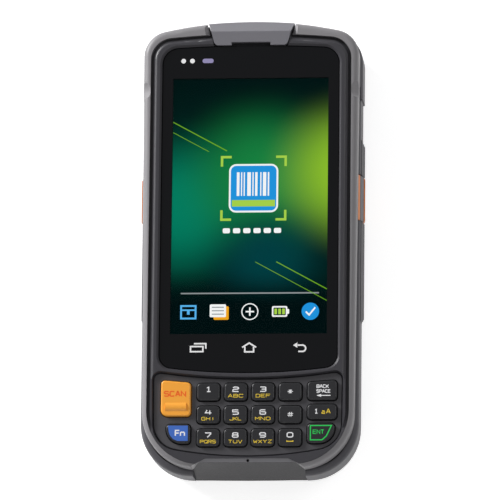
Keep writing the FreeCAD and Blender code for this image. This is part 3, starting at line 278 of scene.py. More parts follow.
# die-cast magnesium: dull silver grey, slightly uneven
magnesium = metalPart("MagnesiumDieCastFrame", "#a9a9ad", 0.5, 1.0, 0.01)
# gold plating: warm and bright
contactGold = metalPart("GoldPlatedContact", "#e3b65c", 0.25, 0.5, 0.002)
# woven steel mesh, blackened: dark, with a fine rough sparkle
meshSteel = metalPart("StainlessWovenMeshBlackened", "#3b3b3d", 0.5, 0.3, 0.02)

# two-shot trigger: orange PC, with a grey TPU bar across it, told apart by height above the back
trigger = {"orange": "#f08a3c", "bar": "#7f7e82", "barLow": 10.6, "barHigh": 14.4, "orangeRough": 0.38,
           "barRough": 0.55, "grain": 0.5, "depth": 0.004}


def twoShotTrigger():
    material, tree = newMaterial("PolycarbonateTriggerTwoShot")
    place = addNode(tree, "ShaderNodeTexCoord").outputs["Object"]
    height = addNode(tree, "ShaderNodeSeparateXYZ", {"Vector": place}).outputs["Z"]
    middle = 0.5 * (trigger["barLow"] + trigger["barHigh"]) * mm
    half = 0.5 * (trigger["barHigh"] - trigger["barLow"]) * mm
    inBar = addNode(tree, "ShaderNodeMath", {0: height, 1: middle, 2: half},
                    operation="COMPARE").outputs["Value"]
    fine = addNode(tree, "ShaderNodeTexNoise", {"Vector": place, "Scale": 1 / (trigger["grain"] * mm),
                                                "Detail": 3.0})
    tint = addNode(tree, "ShaderNodeMix", {"Factor": inBar, 6: toLinear(trigger["orange"]),
                                           7: toLinear(trigger["bar"])}, data_type="RGBA").outputs[2]
    dull = addNode(tree, "ShaderNodeMapRange", {"Value": inBar, "To Min": trigger["orangeRough"],
                                                "To Max": trigger["barRough"]})
    bump = addNode(tree, "ShaderNodeBump", {"Height": fine.outputs["Fac"], "Strength": 1.0,
                                            "Distance": trigger["depth"] * mm})
    shader = addNode(tree, "ShaderNodeBsdfPrincipled", {
        "Base Color": tint, "Roughness": dull.outputs["Result"], "IOR": 1.5,
        "Normal": bump.outputs["Normal"]})
    finishMaterial(tree, shader.outputs["BSDF"])
    return material


# the chin's guard is part of the housing: its outline, the height where its pale band ends, how far past
# its edges the two colours reach, the colours of its band (a painted highlight on its top) and of its
# steep face, and the gloss of the housing and of the guard
chin = {"top": -71.45, "half": 13.6, "lowHalf": 18.5, "spread": 2.5, "bandLow": 23.5, "pastSide": 0.02,
        "pastBand": 0.08, "band": "#88878b", "face": "#39383b", "housingGloss": 0.5, "guardGloss": 0.12}
satin = {"smooth": 0.38, "rough": 0.5, "grain": 0.5, "depth": 0.006}


def housingWithChin():
    # PC-ABS with a satin finish: its guard has a paler band on top, which is a painted highlight, and a
    # steep face as dark as the rest
    material, tree = newMaterial("PcAbsSatinDarkGuardPaintedHighlight")
    place = addNode(tree, "ShaderNodeTexCoord").outputs["Object"]
    parts = addNode(tree, "ShaderNodeSeparateXYZ", {"Vector": place})
    side = addNode(tree, "ShaderNodeMath", {0: parts.outputs["X"]}, operation="ABSOLUTE").outputs["Value"]
    slope = (chin["lowHalf"] - chin["half"]) / chin["spread"]
    edge = addNode(tree, "ShaderNodeMath", {0: parts.outputs["Y"], 1: slope, 2: side},
                   operation="MULTIPLY_ADD").outputs["Value"]
    inside = addNode(tree, "ShaderNodeMath", {0: edge, 1: (chin["half"] + slope * chin["top"]) * mm},
                     operation="LESS_THAN").outputs["Value"]
    narrow = addNode(tree, "ShaderNodeMath", {0: side, 1: (chin["lowHalf"] + chin["pastSide"]) * mm},
                     operation="LESS_THAN").outputs["Value"]
    below = addNode(tree, "ShaderNodeMath", {0: parts.outputs["Y"], 1: chin["top"] * mm},
                    operation="LESS_THAN").outputs["Value"]
    guard = addNode(tree, "ShaderNodeMath", {0: inside, 1: narrow}, operation="MULTIPLY").outputs["Value"]
    guard = addNode(tree, "ShaderNodeMath", {0: guard, 1: below}, operation="MULTIPLY").outputs["Value"]
    # the guard's top above this height gets the paler colour, a painted highlight
    high = addNode(tree, "ShaderNodeMath", {
        0: parts.outputs["Z"], 1: (chin["bandLow"] - chin["pastBand"]) * mm},
        operation="GREATER_THAN").outputs["Value"]
    fine = addNode(tree, "ShaderNodeTexNoise", {"Vector": place, "Scale": 1 / (satin["grain"] * mm),
                                                "Detail": 3.0, "Roughness": 0.6}).outputs["Fac"]
    faceAndPaintedHighlight = addNode(tree, "ShaderNodeMix", {
        "Factor": high, 6: toLinear(chin["face"]), 7: toLinear(chin["band"])}, data_type="RGBA").outputs[2]
    tint = addNode(tree, "ShaderNodeMix", {"Factor": guard, 6: toLinear(plastics["frontHousing"]), 7: faceAndPaintedHighlight},
                   data_type="RGBA").outputs[2]
    speck = addNode(tree, "ShaderNodeMapRange", {"Value": fine, **noiseSpread, "To Min": satin["smooth"],
                                                 "To Max": satin["rough"]})
    bump = addNode(tree, "ShaderNodeBump", {"Height": fine, "Strength": 1.0, "Distance": satin["depth"] * mm})
    # the guard's finer, duller texture takes most of the floor's glare off its steep face
    glare = addNode(tree, "ShaderNodeMapRange", {"Value": guard, "To Min": chin["housingGloss"],
                                                 "To Max": chin["guardGloss"]})
    shader = addNode(tree, "ShaderNodeBsdfPrincipled", {
        "Base Color": tint, "Roughness": speck.outputs["Result"], "IOR": 1.5,
        "Specular IOR Level": glare.outputs["Result"], "Normal": bump.outputs["Normal"]})
    finishMaterial(tree, shader.outputs["BSDF"])
    return material


# the lit area of the 4.0 inch display, whose middle lies a little above the module's own, and the thin sheet
# that holds its picture, 0.03 mm above the module
screenLow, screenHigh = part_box("lcd_module")
display = {"half": 25.92, "long": 86.4, "offset": 0.85, "sheetUp": 0.03, "sheetThick": 0.01, "inset": 0.02,
           "firstLayer": 0.004, "layerStep": 0.012, "strokeStep": 0.001, "drawnRound": 12.4}
display["middle"] = 0.5 * (screenLow.y + screenHigh.y) / mm + display["offset"]
display["picture"] = round(screenHigh.z / mm, 2) + display["sheetUp"]
display["low"] = display["middle"] - 0.5 * display["long"]
display["high"] = display["middle"] + 0.5 * display["long"]
# what lies on the display and the glass is drawn round a middle at 12.4 mm, then moved to the real one
display["shift"] = display["middle"] - display["drawnRound"]

glass = {"ink": "#0d0e11", "inkIor": 1.45, "coatIor": 1.2, "smear": 14, "smooth": 0.03, "rough": 0.1}


def coverGlass():
    # aluminosilicate glass, black ink behind it round the display: deep black with a clean sharp gloss,
    # and next to no gloss over the display itself, where the glass is anti-reflection coated
    material, tree = newMaterial("AluminosilicateGlassBlackBorder")
    place = addNode(tree, "ShaderNodeTexCoord").outputs["Object"]
    parts = addNode(tree, "ShaderNodeSeparateXYZ", {"Vector": place})
    across = addNode(tree, "ShaderNodeMath", {0: parts.outputs["X"], 1: 0.0, 2: display["half"] * mm},
                     operation="COMPARE").outputs["Value"]
    along = addNode(tree, "ShaderNodeMath", {
        0: parts.outputs["Y"], 1: display["middle"] * mm, 2: 0.5 * (display["high"] - display["low"]) * mm},
        operation="COMPARE").outputs["Value"]
    window = addNode(tree, "ShaderNodeMath", {0: across, 1: along}, operation="MULTIPLY").outputs["Value"]
    smear = addNode(tree, "ShaderNodeTexNoise", {"Vector": place, "Scale": 1 / (glass["smear"] * mm),
                                                 "Detail": 2.0})
    gloss = addNode(tree, "ShaderNodeMapRange", {"Value": smear.outputs["Fac"], "To Min": glass["smooth"],
                                                 "To Max": glass["rough"]})
    ink = addNode(tree, "ShaderNodeBsdfPrincipled", {
        "Base Color": toLinear(glass["ink"]), "Roughness": gloss.outputs["Result"], "IOR": glass["inkIor"]})
    clear = addNode(tree, "ShaderNodeBsdfTransparent")
    shine = addNode(tree, "ShaderNodeBsdfGlossy", {"Roughness": gloss.outputs["Result"]})
    edgeOn = addNode(tree, "ShaderNodeFresnel", {"IOR": glass["coatIor"]})
    pane = addNode(tree, "ShaderNodeMixShader", {0: edgeOn.outputs["Fac"], 1: clear.outputs["BSDF"],
                                                 2: shine.outputs["BSDF"]})
    both = addNode(tree, "ShaderNodeMixShader", {0: window, 1: ink.outputs["BSDF"],
                                                 2: pane.outputs["Shader"]})
    finishMaterial(tree, both.outputs["Shader"])
    return material


acrylic = {"ior": 1.49, "smear": 5, "smooth": 0.04, "rough": 0.12}


def clearPane(name, colour, see):
    # smooth acrylic or glass; see: how much of what lies behind it comes through
    material, tree = newMaterial(name)
    place = addNode(tree, "ShaderNodeTexCoord").outputs["Object"]
    smear = addNode(tree, "ShaderNodeTexNoise", {"Vector": place, "Scale": 1 / (acrylic["smear"] * mm),
                                                 "Detail": 2.0})
    gloss = addNode(tree, "ShaderNodeMapRange", {"Value": smear.outputs["Fac"], "To Min": acrylic["smooth"],
                                                 "To Max": acrylic["rough"]})
    body = addNode(tree, "ShaderNodeBsdfPrincipled", {
        "Base Color": toLinear(colour), "Roughness": gloss.outputs["Result"], "IOR": acrylic["ior"]})
    clear = addNode(tree, "ShaderNodeBsdfTransparent", {"Color": toLinear(colour)})
    both = addNode(tree, "ShaderNodeMixShader", {0: see, 1: body.outputs["BSDF"], 2: clear.outputs["BSDF"]})
    finishMaterial(tree, both.outputs["Shader"])
    return material


paint(rearAbs, "rear_shell")
paint(housingWithChin(), "front_housing")
paint(bumperTpu, "front_bumper")
paint(sealSilicone, "housing_seal")
paint(railTpu, "grip_rails")
paint(cornerTpu, "corner_pads")
paint(capAbs, "scanner_cap")
paint(clearPane("PmmaScanWindowRed", "#3a0a0c", 0.35), "scan_window")
paint(meshSteel, "earpiece_mesh")
paint(coverGlass(), "touch_glass")
paint(innerAbs, "lcd_module", "trigger_switches", "scan_engine", "camera_module", "loudspeaker",
      "earpiece_receiver", "microphone")
paint(traySteel, "lcd_tray")
paint(magnesium, "midframe", "engine_bracket")
paint(panelAbs, "keypad_panel")
paint(siliconeMat, "silicone_keymat")
paint(boardFr4, "keypad_board", "main_board")
paint(domeSteel, "snap_domes")
paint(twoShotTrigger(), "side_trigger_left", "side_trigger_right")
paint(keyPc, "power_button", "volume_rocker")
paint(pinSteel, "rocker_pin", "port_door_pin")
paint(coverAbs, "battery_cover")
paint(cellWrap, "battery_pack")
paint(boltBlack, "cover_screw_left", "cover_screw_right", "case_screws")
paint(contactGold, "battery_contacts", "dock_contacts")
paint(doorTpu, "port_door")
paint(canSteel, "usb_connector", "shield_cans")
paint(clearPane("GlassCameraWindow", "#15161c", 0.25), "camera_window")
paint(lampDiffuser, "flash_lens")
keyNames = sorted(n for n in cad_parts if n.startswith("key_"))
paint(keyPc, *[n for n in keyNames if n != "key_scan"])
paint(scanPc, "key_scan")
print("stage: materials on", len(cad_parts), "carried-over pieces")


# lettering: wide single-stroke letters on a grid 4 wide and 6 high

ring = [(1, 0), (3, 0), (4, 1), (4, 5), (3, 6), (1, 6), (0, 5), (0, 1), (1, 0)]
strokes = {
    "0": [ring], "O": [ring], "D": [[(0, 0), (0, 6), (3, 6), (4, 5), (4, 1), (3, 0), (0, 0)]],
    "1": [[(0.9, 4.9), (2.2, 6), (2.2, 0)], [(0.9, 0), (3.5, 0)]],
    "2": [[(0, 5), (1, 6), (3, 6), (4, 5), (4, 4), (3, 3.1), (1, 3.1), (0, 2.2), (0, 0), (4, 0)]],
    "3": [[(0, 6), (3.2, 6), (4, 5.2), (4, 3.9), (3.2, 3.1), (4, 2.3), (4, 0.8), (3.2, 0), (0, 0)],
          [(1, 3.1), (3.2, 3.1)]],
    "4": [[(1.2, 6), (0, 2.2), (4.2, 2.2)], [(3.1, 5.6), (3.1, 0)]],
    "5": [[(4, 6), (0, 6), (0, 3.4), (3.2, 3.4), (4, 2.6), (4, 0.8), (3.2, 0), (0, 0)]],
    "6": [[(3.8, 6), (0.8, 6), (0, 5.2), (0, 0.8), (0.8, 0), (3.2, 0), (4, 0.8), (4, 2.6), (3.2, 3.4),
           (0, 3.4)]],
    "7": [[(0, 6), (4, 6), (4, 4.6), (1.6, 0)]],
    "8": [[(0.9, 3.1), (3.1, 3.1), (3.8, 3.8), (3.8, 5.3), (3.1, 6), (0.9, 6), (0.2, 5.3), (0.2, 3.8),
           (0.9, 3.1)],
          [(0.9, 3.1), (3.1, 3.1), (4, 2.3), (4, 0.8), (3.2, 0), (0.8, 0), (0, 0.8), (0, 2.3), (0.9, 3.1)]],
    "9": [[(0.2, 0), (3.2, 0), (4, 0.8), (4, 5.2), (3.2, 6), (0.8, 6), (0, 5.2), (0, 3.4), (0.8, 2.6),
           (4, 2.6)]],
    "*": [[(0, 3), (4, 3)], [(0.9, 1.1), (3.1, 4.9)], [(0.9, 4.9), (3.1, 1.1)], [(2, 0.8), (2, 5.2)]],
    "#": [[(1.1, 0.4), (1.6, 5.6)], [(2.6, 0.4), (3.1, 5.6)], [(0, 2), (4, 2)], [(0.2, 4), (4.2, 4)]],
    "A": [[(0, 0), (1.8, 6), (2.2, 6), (4, 0)], [(0.9, 2), (3.1, 2)]],
    "B": [[(0, 0), (0, 6), (3.2, 6), (4, 5.2), (4, 3.9), (3.2, 3.1), (4, 2.4), (4, 0.8), (3.2, 0), (0, 0)],
          [(0, 3.1), (3.2, 3.1)]],
    "C": [[(4, 5.2), (3.2, 6), (0.8, 6), (0, 5.2), (0, 0.8), (0.8, 0), (3.2, 0), (4, 0.8)]],
    "E": [[(4, 6), (0, 6), (0, 0), (4, 0)], [(0, 3), (3.4, 3)]],
    "F": [[(4, 6), (0, 6), (0, 0)], [(0, 3), (3.4, 3)]],
    "G": [[(4, 5.2), (3.2, 6), (0.8, 6), (0, 5.2), (0, 0.8), (0.8, 0), (3.2, 0), (4, 0.8), (4, 2.8),
           (2.2, 2.8)]],
    "H": [[(0, 0), (0, 6)], [(4, 0), (4, 6)], [(0, 3), (4, 3)]],
    "I": [[(2, 0), (2, 6)]],
    "J": [[(4, 6), (4, 0.8), (3.2, 0), (0.8, 0), (0, 0.8), (0, 1.6)]],
    "K": [[(0, 0), (0, 6)], [(4, 6), (0.9, 3), (4, 0)]],
    "L": [[(0, 6), (0, 0), (4, 0)]],
    "M": [[(0, 0), (0, 6)], [(0, 6), (2, 2.6)], [(2, 2.6), (4, 6)], [(4, 6), (4, 0)]],
    "N": [[(0, 0), (0, 6), (4, 0), (4, 6)]],
    "P": [[(0, 0), (0, 6), (3.2, 6), (4, 5.2), (4, 3.6), (3.2, 2.8), (0, 2.8)]],
    "Q": [ring, [(2.6, 1.8), (4.3, -0.3)]],
    "R": [[(0, 0), (0, 6), (3.2, 6), (4, 5.2), (4, 3.6), (3.2, 2.8), (0, 2.8)], [(2.2, 2.8), (4, 0)]],
    "S": [[(4, 5.2), (3.2, 6), (0.8, 6), (0, 5.2), (0, 3.9), (0.8, 3.1), (3.2, 3.1), (4, 2.3), (4, 0.8),
           (3.2, 0), (0.8, 0), (0, 0.8)]],
    "T": [[(0, 6), (4, 6)], [(2, 6), (2, 0)]],
    "U": [[(0, 6), (0, 0.8), (0.8, 0), (3.2, 0), (4, 0.8), (4, 6)]],
    "V": [[(0, 6), (1.8, 0), (2.2, 0), (4, 6)]],
    "W": [[(0, 6), (0.9, 0)], [(0.9, 0), (2, 4)], [(2, 4), (3.1, 0)], [(3.1, 0), (4, 6)]],
    "X": [[(0, 0), (4, 6)], [(0, 6), (4, 0)]],
    "Y": [[(0, 6), (2, 3), (4, 6)], [(2, 3), (2, 0)]],
    "Z": [[(0, 6), (4, 6), (0, 0), (4, 0)]],
    "a": [[(0.4, 4), (3.2, 4), (4, 3.2), (4, 0), (0.8, 0), (0, 0.7), (0, 1.5), (0.8, 2.2), (4, 2.2)]],
    "n": [[(0, 0), (0, 4)], [(0, 3.4), (0.8, 4), (3.2, 4), (4, 3.2), (4, 0)]],
}
# a letter on its grid, the gap to the next one, and how far each of its strokes lies over the last
letterGrid = {"wide": 4, "high": 6, "gap": 1.3, "strokeStep": 0.004}


def addWord(mesh, word, centre, height, length, weight, low, high):
    # height: of a capital, and length: of the whole word, both to the outside of the strokes, in millimetres
    scaleY = (height - weight) / letterGrid["high"]
    pitch = (length - weight) / (len(word) * letterGrid["wide"] + (len(word) - 1) * letterGrid["gap"])
    for index, letter in enumerate(word):
        left = centre[0] - 0.5 * (length - weight) + index * (letterGrid["wide"] + letterGrid["gap"]) * pitch
        for turn, stroke in enumerate(strokes[letter]):
            lift = letterGrid["strokeStep"] * turn
            points = [(left + x * pitch, centre[1] - 0.5 * (height - weight) + y * scaleY) for x, y in stroke]
            closed = points[0] == points[-1]
            addRibbon(mesh, points[:-1] if closed else points, weight, low + lift, high + lift, closed)


def keyMiddle(name):
    low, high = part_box(name)
    return 0.5 * (low.x + high.x) / mm, 0.5 * (low.y + high.y) / mm


def inkPrint(name, colour, roughness=0.45):
    # pad-printed two-part ink: slightly duller than the key, with a faint orange-peel edge to the light
    return mouldedPlastic(name, colour, roughness, grain=0.3, depth=0.003, mottle=0.03, wide=2.0)


whiteInk = inkPrint("PadInkWhite", "#f2f2f4")
yellowInk = inkPrint("PadInkYellow", "#eccb3e")
greenInk = inkPrint("PadInkGreen", "#25d45a")
blueInk = inkPrint("PadInkBlue", "#3f6cc4")
scanInk = inkPrint("PadInkOrangeRed", "#f5641c")
keyTop = round(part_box("key_1")[1].z / mm, 2)
legend = {"ink": 0.02, "over": 0.004, "digitUp": 0.8, "digitHigh": 1.8, "digitWide": 2.2, "digitWeight": 0.34,
          "letterDown": 1.35, "letterHigh": 1.2, "letterWeight": 0.2, "signSize": 2.0, "signWeight": 0.24,
          "spaceHalf": 1.0, "spaceEnd": 0.35, "spaceWeight": 0.3}
inkLow = keyTop
inkHigh = keyTop + legend["ink"]
# the letters on each key, and how long they are together in mm
groups = {"2": ("ABC", 5.1), "3": ("DEF", 4.8), "4": ("GHI", 4.5), "5": ("JKL", 3.9), "6": ("MNO", 5.1),
          "7": ("PQRS", 5.25), "8": ("TUV", 4.7), "9": ("WXYZ", 6.15)}
for digit in "0123456789":
    keyName = "key_" + digit
    x, y = keyMiddle(keyName)
    mesh = bmesh.new()
    addWord(mesh, digit, (x, y + legend["digitUp"]), legend["digitHigh"], legend["digitWide"],
            legend["digitWeight"], inkLow, inkHigh)
    finishPiece("legend_" + digit, mesh, whiteInk, keyName)
    if digit in groups:
        word, wordLong = groups[digit]
        mesh = bmesh.new()
        addWord(mesh, word, (x, y - legend["letterDown"]), legend["letterHigh"], wordLong,
                legend["letterWeight"], inkLow, inkHigh)
        finishPiece("letters_" + digit, mesh, yellowInk, keyName)
    if digit == "0":
        mesh = bmesh.new()
        down = y - legend["letterDown"]
        left, right = x - legend["spaceHalf"], x + legend["spaceHalf"]
        end = down + legend["spaceEnd"]
        addRibbon(mesh, [(left, end), (left, down), (right, down), (right, end)], legend["spaceWeight"],
                  inkLow, inkHigh)
        finishPiece("space_mark", mesh, yellowInk, keyName)
for keyName, sign in (("key_star", "*"), ("key_hash", "#")):
    mesh = bmesh.new()
    addWord(mesh, sign, keyMiddle(keyName), legend["signSize"], legend["signSize"], legend["signWeight"],
            inkLow, inkHigh)
    finishPiece("legend_" + keyName[4:], mesh, whiteInk, keyName)

# the five outer keys: heights measured from the middle of the row of digits beside them
rowOne = keyMiddle("key_1")[1]
rowTwo = keyMiddle("key_4")[1]
rowThree = keyMiddle("key_7")[1]
outerWords = {
    "scan": {"word": "SCAN", "at": (-23.9, rowOne - 0.6), "high": 2.0, "long": 7.4, "weight": 0.42},
    "fn": {"word": "Fn", "at": (-22.1, rowThree + 1.5), "high": 2.2, "long": 3.4, "weight": 0.42},
    "back": {"word": "BACK", "at": (24.8, rowOne + 1.7), "high": 1.2, "long": 4.1, "weight": 0.24},
    "space": {"word": "SPACE", "at": (25.05, rowOne + 0.1), "high": 1.2, "long": 4.7, "weight": 0.24},
    "one": {"word": "1", "at": (22.7, rowTwo + 1.0), "high": 1.6, "long": 1.5, "weight": 0.28},
    "small": {"word": "a", "at": (25.0, rowTwo + 0.9), "high": 1.6, "long": 1.15, "weight": 0.26},
    "capital": {"word": "A", "at": (26.7, rowTwo + 1.0), "high": 1.6, "long": 1.5, "weight": 0.26},
    "enter": {"word": "ENT", "at": (23.5, rowThree + 1.8), "high": 1.45, "long": 3.8, "weight": 0.24},
}
fnField = [(-26.1, 4.0), (-19.5, 4.0), (-19.5, -1.1), (-22.9, -1.1), (-24.3, -0.5), (-25.3, 0.6),
           (-25.8, 1.9)]
backArrow = [(22.7, -1.35), (24.3, -0.85), (24.3, -1.2), (27.4, -1.2), (27.4, -1.5), (24.3, -1.5),
             (24.3, -1.85)]
enterFrame = [(20.85, 3.85), (27.75, 3.85), (26.1, 0.4), (24.7, -0.9), (20.85, -0.9)]
enterWeight = 0.36


def outerWord(mesh, name, lift=0.0):
    entry = outerWords[name]
    addWord(mesh, entry["word"], entry["at"], entry["high"], entry["long"], entry["weight"], inkLow + lift,
            inkHigh + lift)


def fromRow(outline, row):
    return [(x, row + up) for x, up in outline]


mesh = bmesh.new()
outerWord(mesh, "scan")
finishPiece("legend_scan", mesh, scanInk, "key_scan")
mesh = bmesh.new()
addPlate(mesh, fromRow(fnField, rowThree), inkLow, inkHigh)
finishPiece("fn_field", mesh, blueInk, "key_fn")
mesh = bmesh.new()
outerWord(mesh, "fn", legend["ink"] + legend["over"])
finishPiece("legend_fn", mesh, whiteInk, "key_fn")
mesh = bmesh.new()
outerWord(mesh, "back")
outerWord(mesh, "space")
addPlate(mesh, fromRow(backArrow, rowOne), inkLow, inkHigh)
finishPiece("legend_backspace", mesh, whiteInk, "key_backspace")
mesh = bmesh.new()
outerWord(mesh, "one")
finishPiece("legend_shift_one", mesh, whiteInk, "key_shift")
mesh = bmesh.new()
outerWord(mesh, "small")
outerWord(mesh, "capital")
finishPiece("legend_shift_case", mesh, yellowInk, "key_shift")
mesh = bmesh.new()
addRibbon(mesh, fromRow(enterFrame, rowThree), enterWeight, inkLow, inkHigh, True)
outerWord(mesh, "enter")
finishPiece("legend_enter", mesh, greenInk, "key_enter")
print("stage: key legends")


# the lit display, on a thin sheet just above the display module

# colours, and in mm each soft field's middle and reach, and the heights between which the picture darkens
fields = {
    "night": "#001a17", "teal": "#007a5e", "leaf": "#15803f", "lime": "#8cbf2c", "deep": "#003c40",
    "tealAt": (-24.0, 12.0), "tealSize": 34.0,
    "leafAt": (4.0, 22.0), "leafSize": 36.0,
    "limeAt": (33.0, 24.0), "limeSize": 33.0,
    "deepAt": (6.0, -6.0), "deepSize": 26.0,
    "dark": "#000d0e", "darkBelow": (-22.0, -8.0), "darkAbove": (64.0, 38.0),
}


def gradientLight():
    # slow colour fields, as in a plain gradient picture, darkest along the bottom and the top
    material, tree = newMaterial("DisplayPictureLit")
    place = addNode(tree, "ShaderNodeTexCoord").outputs["Object"]
    colour = toLinear(fields["night"])
    for field in ("teal", "leaf", "lime", "deep"):
        x, y = fields[field + "At"]
        gap = addNode(tree, "ShaderNodeVectorMath", {
            0: place, 1: (x * mm, (y + display["shift"]) * mm, display["picture"] * mm)},
            operation="DISTANCE").outputs["Value"]
        share = addNode(tree, "ShaderNodeMapRange", {
            "Value": gap, "From Min": 0.0, "From Max": fields[field + "Size"] * mm, "To Min": 1.0,
            "To Max": 0.0}, interpolation_type="SMOOTHERSTEP").outputs["Result"]
        colour = addNode(tree, "ShaderNodeMix", {"Factor": share, 6: colour, 7: toLinear(fields[field])},
                         data_type="RGBA").outputs[2]
    length = addNode(tree, "ShaderNodeSeparateXYZ", {"Vector": place}).outputs["Y"]
    for fadeFrom, fadeTo in (fields["darkBelow"], fields["darkAbove"]):
        fade = addNode(tree, "ShaderNodeMapRange", {
            "Value": length, "From Min": (fadeFrom + display["shift"]) * mm,
            "From Max": (fadeTo + display["shift"]) * mm}, interpolation_type="SMOOTHSTEP")
        colour = addNode(tree, "ShaderNodeMix", {
            "Factor": fade.outputs["Result"], 6: toLinear(fields["dark"]), 7: colour},
            data_type="RGBA").outputs[2]
    shader = addNode(tree, "ShaderNodeBsdfPrincipled", {
        "Base Color": (0.0, 0.0, 0.0, 1.0), "Roughness": 0.4, "Specular IOR Level": 0.0,
        "Emission Color": colour, "Emission Strength": 1.0})
    finishMaterial(tree, shader.outputs["BSDF"])
    return material


mesh = bmesh.new()
half = display["half"] - display["inset"]
addPlate(mesh, [(-half, display["low"]), (half, display["low"]), (half, display["high"]),
                (-half, display["high"])], display["picture"] - display["sheetThick"], display["picture"])
finishPiece("display_picture", mesh, gradientLight(), "case")

whiteLight = screenInk("DisplayLightWhite", "#f6f8f8")
greyLight = screenInk("DisplayLightGrey", "#8f9698")
blueLight = screenInk("DisplayLightBlue", "#1f93dd")
skyLight = screenInk("DisplayLightSky", "#58b4ee")
limeLight = screenInk("DisplayLightLime", "#6fae1f")
leafLight = screenInk("DisplayLightLeaf", "#a6d14a")
amberLight = screenInk("DisplayLightAmber", "#f2a81d")
darkLight = screenInk("DisplayLightNight", "#0b2230")


def layer(step):
    # each drawn layer of the picture lies just over the one before
    low = display["picture"] + display["firstLayer"] + display["layerStep"] * step
    return low, low + display["sheetThick"]


def displayPiece(name, material, step, plates=(), ribbons=()):
    mesh = bmesh.new()
    low, high = layer(step)
    for outline in plates:
        addPlate(mesh, outline, low, high)
    for turn, (points, width, closed) in enumerate(ribbons):
        lift = display["strokeStep"] * turn
        addRibbon(mesh, points, width, low + lift, high + lift, closed)
    bmesh.ops.translate(mesh, verts=mesh.verts, vec=(0, display["shift"] * mm, 0))
    return finishPiece(name, mesh, material, "case")


# two pairs of thin slanting lines, which stop at the picture's frame
slant = {"rise": -0.55, "wide": 0.3, "thin": 0.2}


def slantLine(x, y, reach, width):
    return [(x, y), (x + reach, y + slant["rise"] * reach)], width, False


displayPiece("picture_lines", limeLight, 0, ribbons=[
    slantLine(-25.8, 41.0, 18.0, slant["wide"]), slantLine(-25.8, 37.5, 12.0, slant["thin"]),
    slantLine(9.0, -6.5, 16.8, slant["wide"]), slantLine(2.0, -6.5, 23.8, slant["thin"])])
displayPiece("dock_line", greyLight, 0, ribbons=[([(-22.6, -17.0), (23.2, -17.0)], 0.45, False)])

badge = {"x": 1.2, "y": 18.4, "half": 7.6, "corner": 1.8, "rim": 0.6, "bandSide": 0.4, "bandLow": 1.4,
         "bandTop": 3.6, "barsLeft": 5.6, "barDown": 2.6, "barUp": 5.4, "markAt": 10.6, "markArm": 3.2,
         "markWeight": 0.8}
bars = ((0.9, 0.5), (0.4, 0.5), (0.4, 0.8), (1.2, 0.5), (0.4, 0.5), (0.8, 0.9), (0.4, 0.5), (1.1, 0.5),
        (0.5, 0.4))    # each bar's width, and the gap after it
bx, by = badge["x"], badge["y"]


def badgeOutline(rim):
    half = badge["half"] + rim
    return roundedOutline(bx - half, bx + half, by - half, by + half, badge["corner"] + rim)


displayPiece("badge_edge", whiteLight, 0, plates=[badgeOutline(badge["rim"])])
displayPiece("badge_field", blueLight, 1, plates=[badgeOutline(0.0)])
bandHalf = badge["half"] - badge["bandSide"]
bandLow = by - badge["half"] + badge["bandLow"]
bandTop = by - badge["half"] + badge["bandTop"]
displayPiece("badge_band", leafLight, 2, plates=[
    [(bx - bandHalf, bandLow), (bx + bandHalf, bandLow), (bx + bandHalf, bandTop), (bx - bandHalf, bandTop)]])
barLow, barHigh = by - badge["barDown"], by + badge["barUp"]
barPlates = []
barX = bx - badge["barsLeft"]
for barWide, barGap in bars:
    barEnd = barX + barWide
    barPlates.append([(barX, barLow), (barEnd, barLow), (barEnd, barHigh), (barX, barHigh)])
    barX += barWide + barGap
displayPiece("badge_bars", whiteLight, 3, plates=barPlates)
cornerMarks = []
for sx in (-1, 1):
    for sy in (-1, 1):
        cx, cy = bx + sx * badge["markAt"], by + sy * badge["markAt"]
        arm = badge["markArm"]
        cornerMarks.append(([(cx - sx * arm, cy), (cx, cy), (cx, cy - sy * arm)], badge["markWeight"], False))
displayPiece("badge_brackets", leafLight, 0, ribbons=cornerMarks)
dots = {"left": -8.9, "step": 3.4, "count": 6, "wide": 2.4, "low": 3.2, "high": 4.9, "corner": 0.5}
dotStarts = [dots["left"] + i * dots["step"] for i in range(dots["count"])]
displayPiece("progress_dots", whiteLight, 0, plates=[
    roundedOutline(x0, x0 + dots["wide"], dots["low"], dots["high"], dots["corner"]) for x0 in dotStarts])

# a parcel, a list, a ring with a plus, a battery and a disc with a tick, in one row at this height
dy = -23.2
displayPiece("dock_parcel", skyLight, 0, ribbons=[
    ([(-22.4, dy - 2.2), (-17.6, dy - 2.2), (-17.6, dy + 2.0), (-22.4, dy + 2.0)], 0.6, True),
    ([(-22.4, dy + 0.6), (-17.6, dy + 0.6)], 0.5, False),
    ([(-20.0, dy + 0.6), (-20.0, dy - 0.9)], 0.9, False)])
displayPiece("dock_list_back", amberLight, 0, plates=[roundedOutline(-11.6, -6.6, dy - 2.7, dy + 1.8, 0.4)])
displayPiece("dock_list", whiteLight, 1, plates=[roundedOutline(-12.9, -7.5, dy - 1.8, dy + 2.5, 0.4)])
displayPiece("dock_list_lines", greyLight, 2, ribbons=[
    ([(-12.2, dy + h), (-8.2, dy + h)], 0.35, False) for h in (1.5, 0.35, -0.8)])
displayPiece("dock_plus", whiteLight, 0, ribbons=[
    (circleOutline(0.4, dy, 2.65), 0.35, True), ([(-1.0, dy), (1.8, dy)], 0.5, False),
    ([(0.4, dy - 1.4), (0.4, dy - 0.25)], 0.5, False), ([(0.4, dy + 0.25), (0.4, dy + 1.4)], 0.5, False)])
displayPiece("dock_battery", whiteLight, 0, plates=[
    roundedOutline(7.7, 12.8, dy - 1.8, dy + 1.8, 0.5), roundedOutline(12.75, 13.4, dy - 0.8, dy + 0.8, 0.2)])
displayPiece("dock_battery_room", darkLight, 1, plates=[roundedOutline(8.2, 12.3, dy - 1.3, dy + 1.3, 0.3)])
displayPiece("dock_battery_charge", leafLight, 2, plates=[
    roundedOutline(x0, x0 + 0.9, dy - 0.95, dy + 0.95, 0.15) for x0 in (8.5, 9.8, 11.1)])
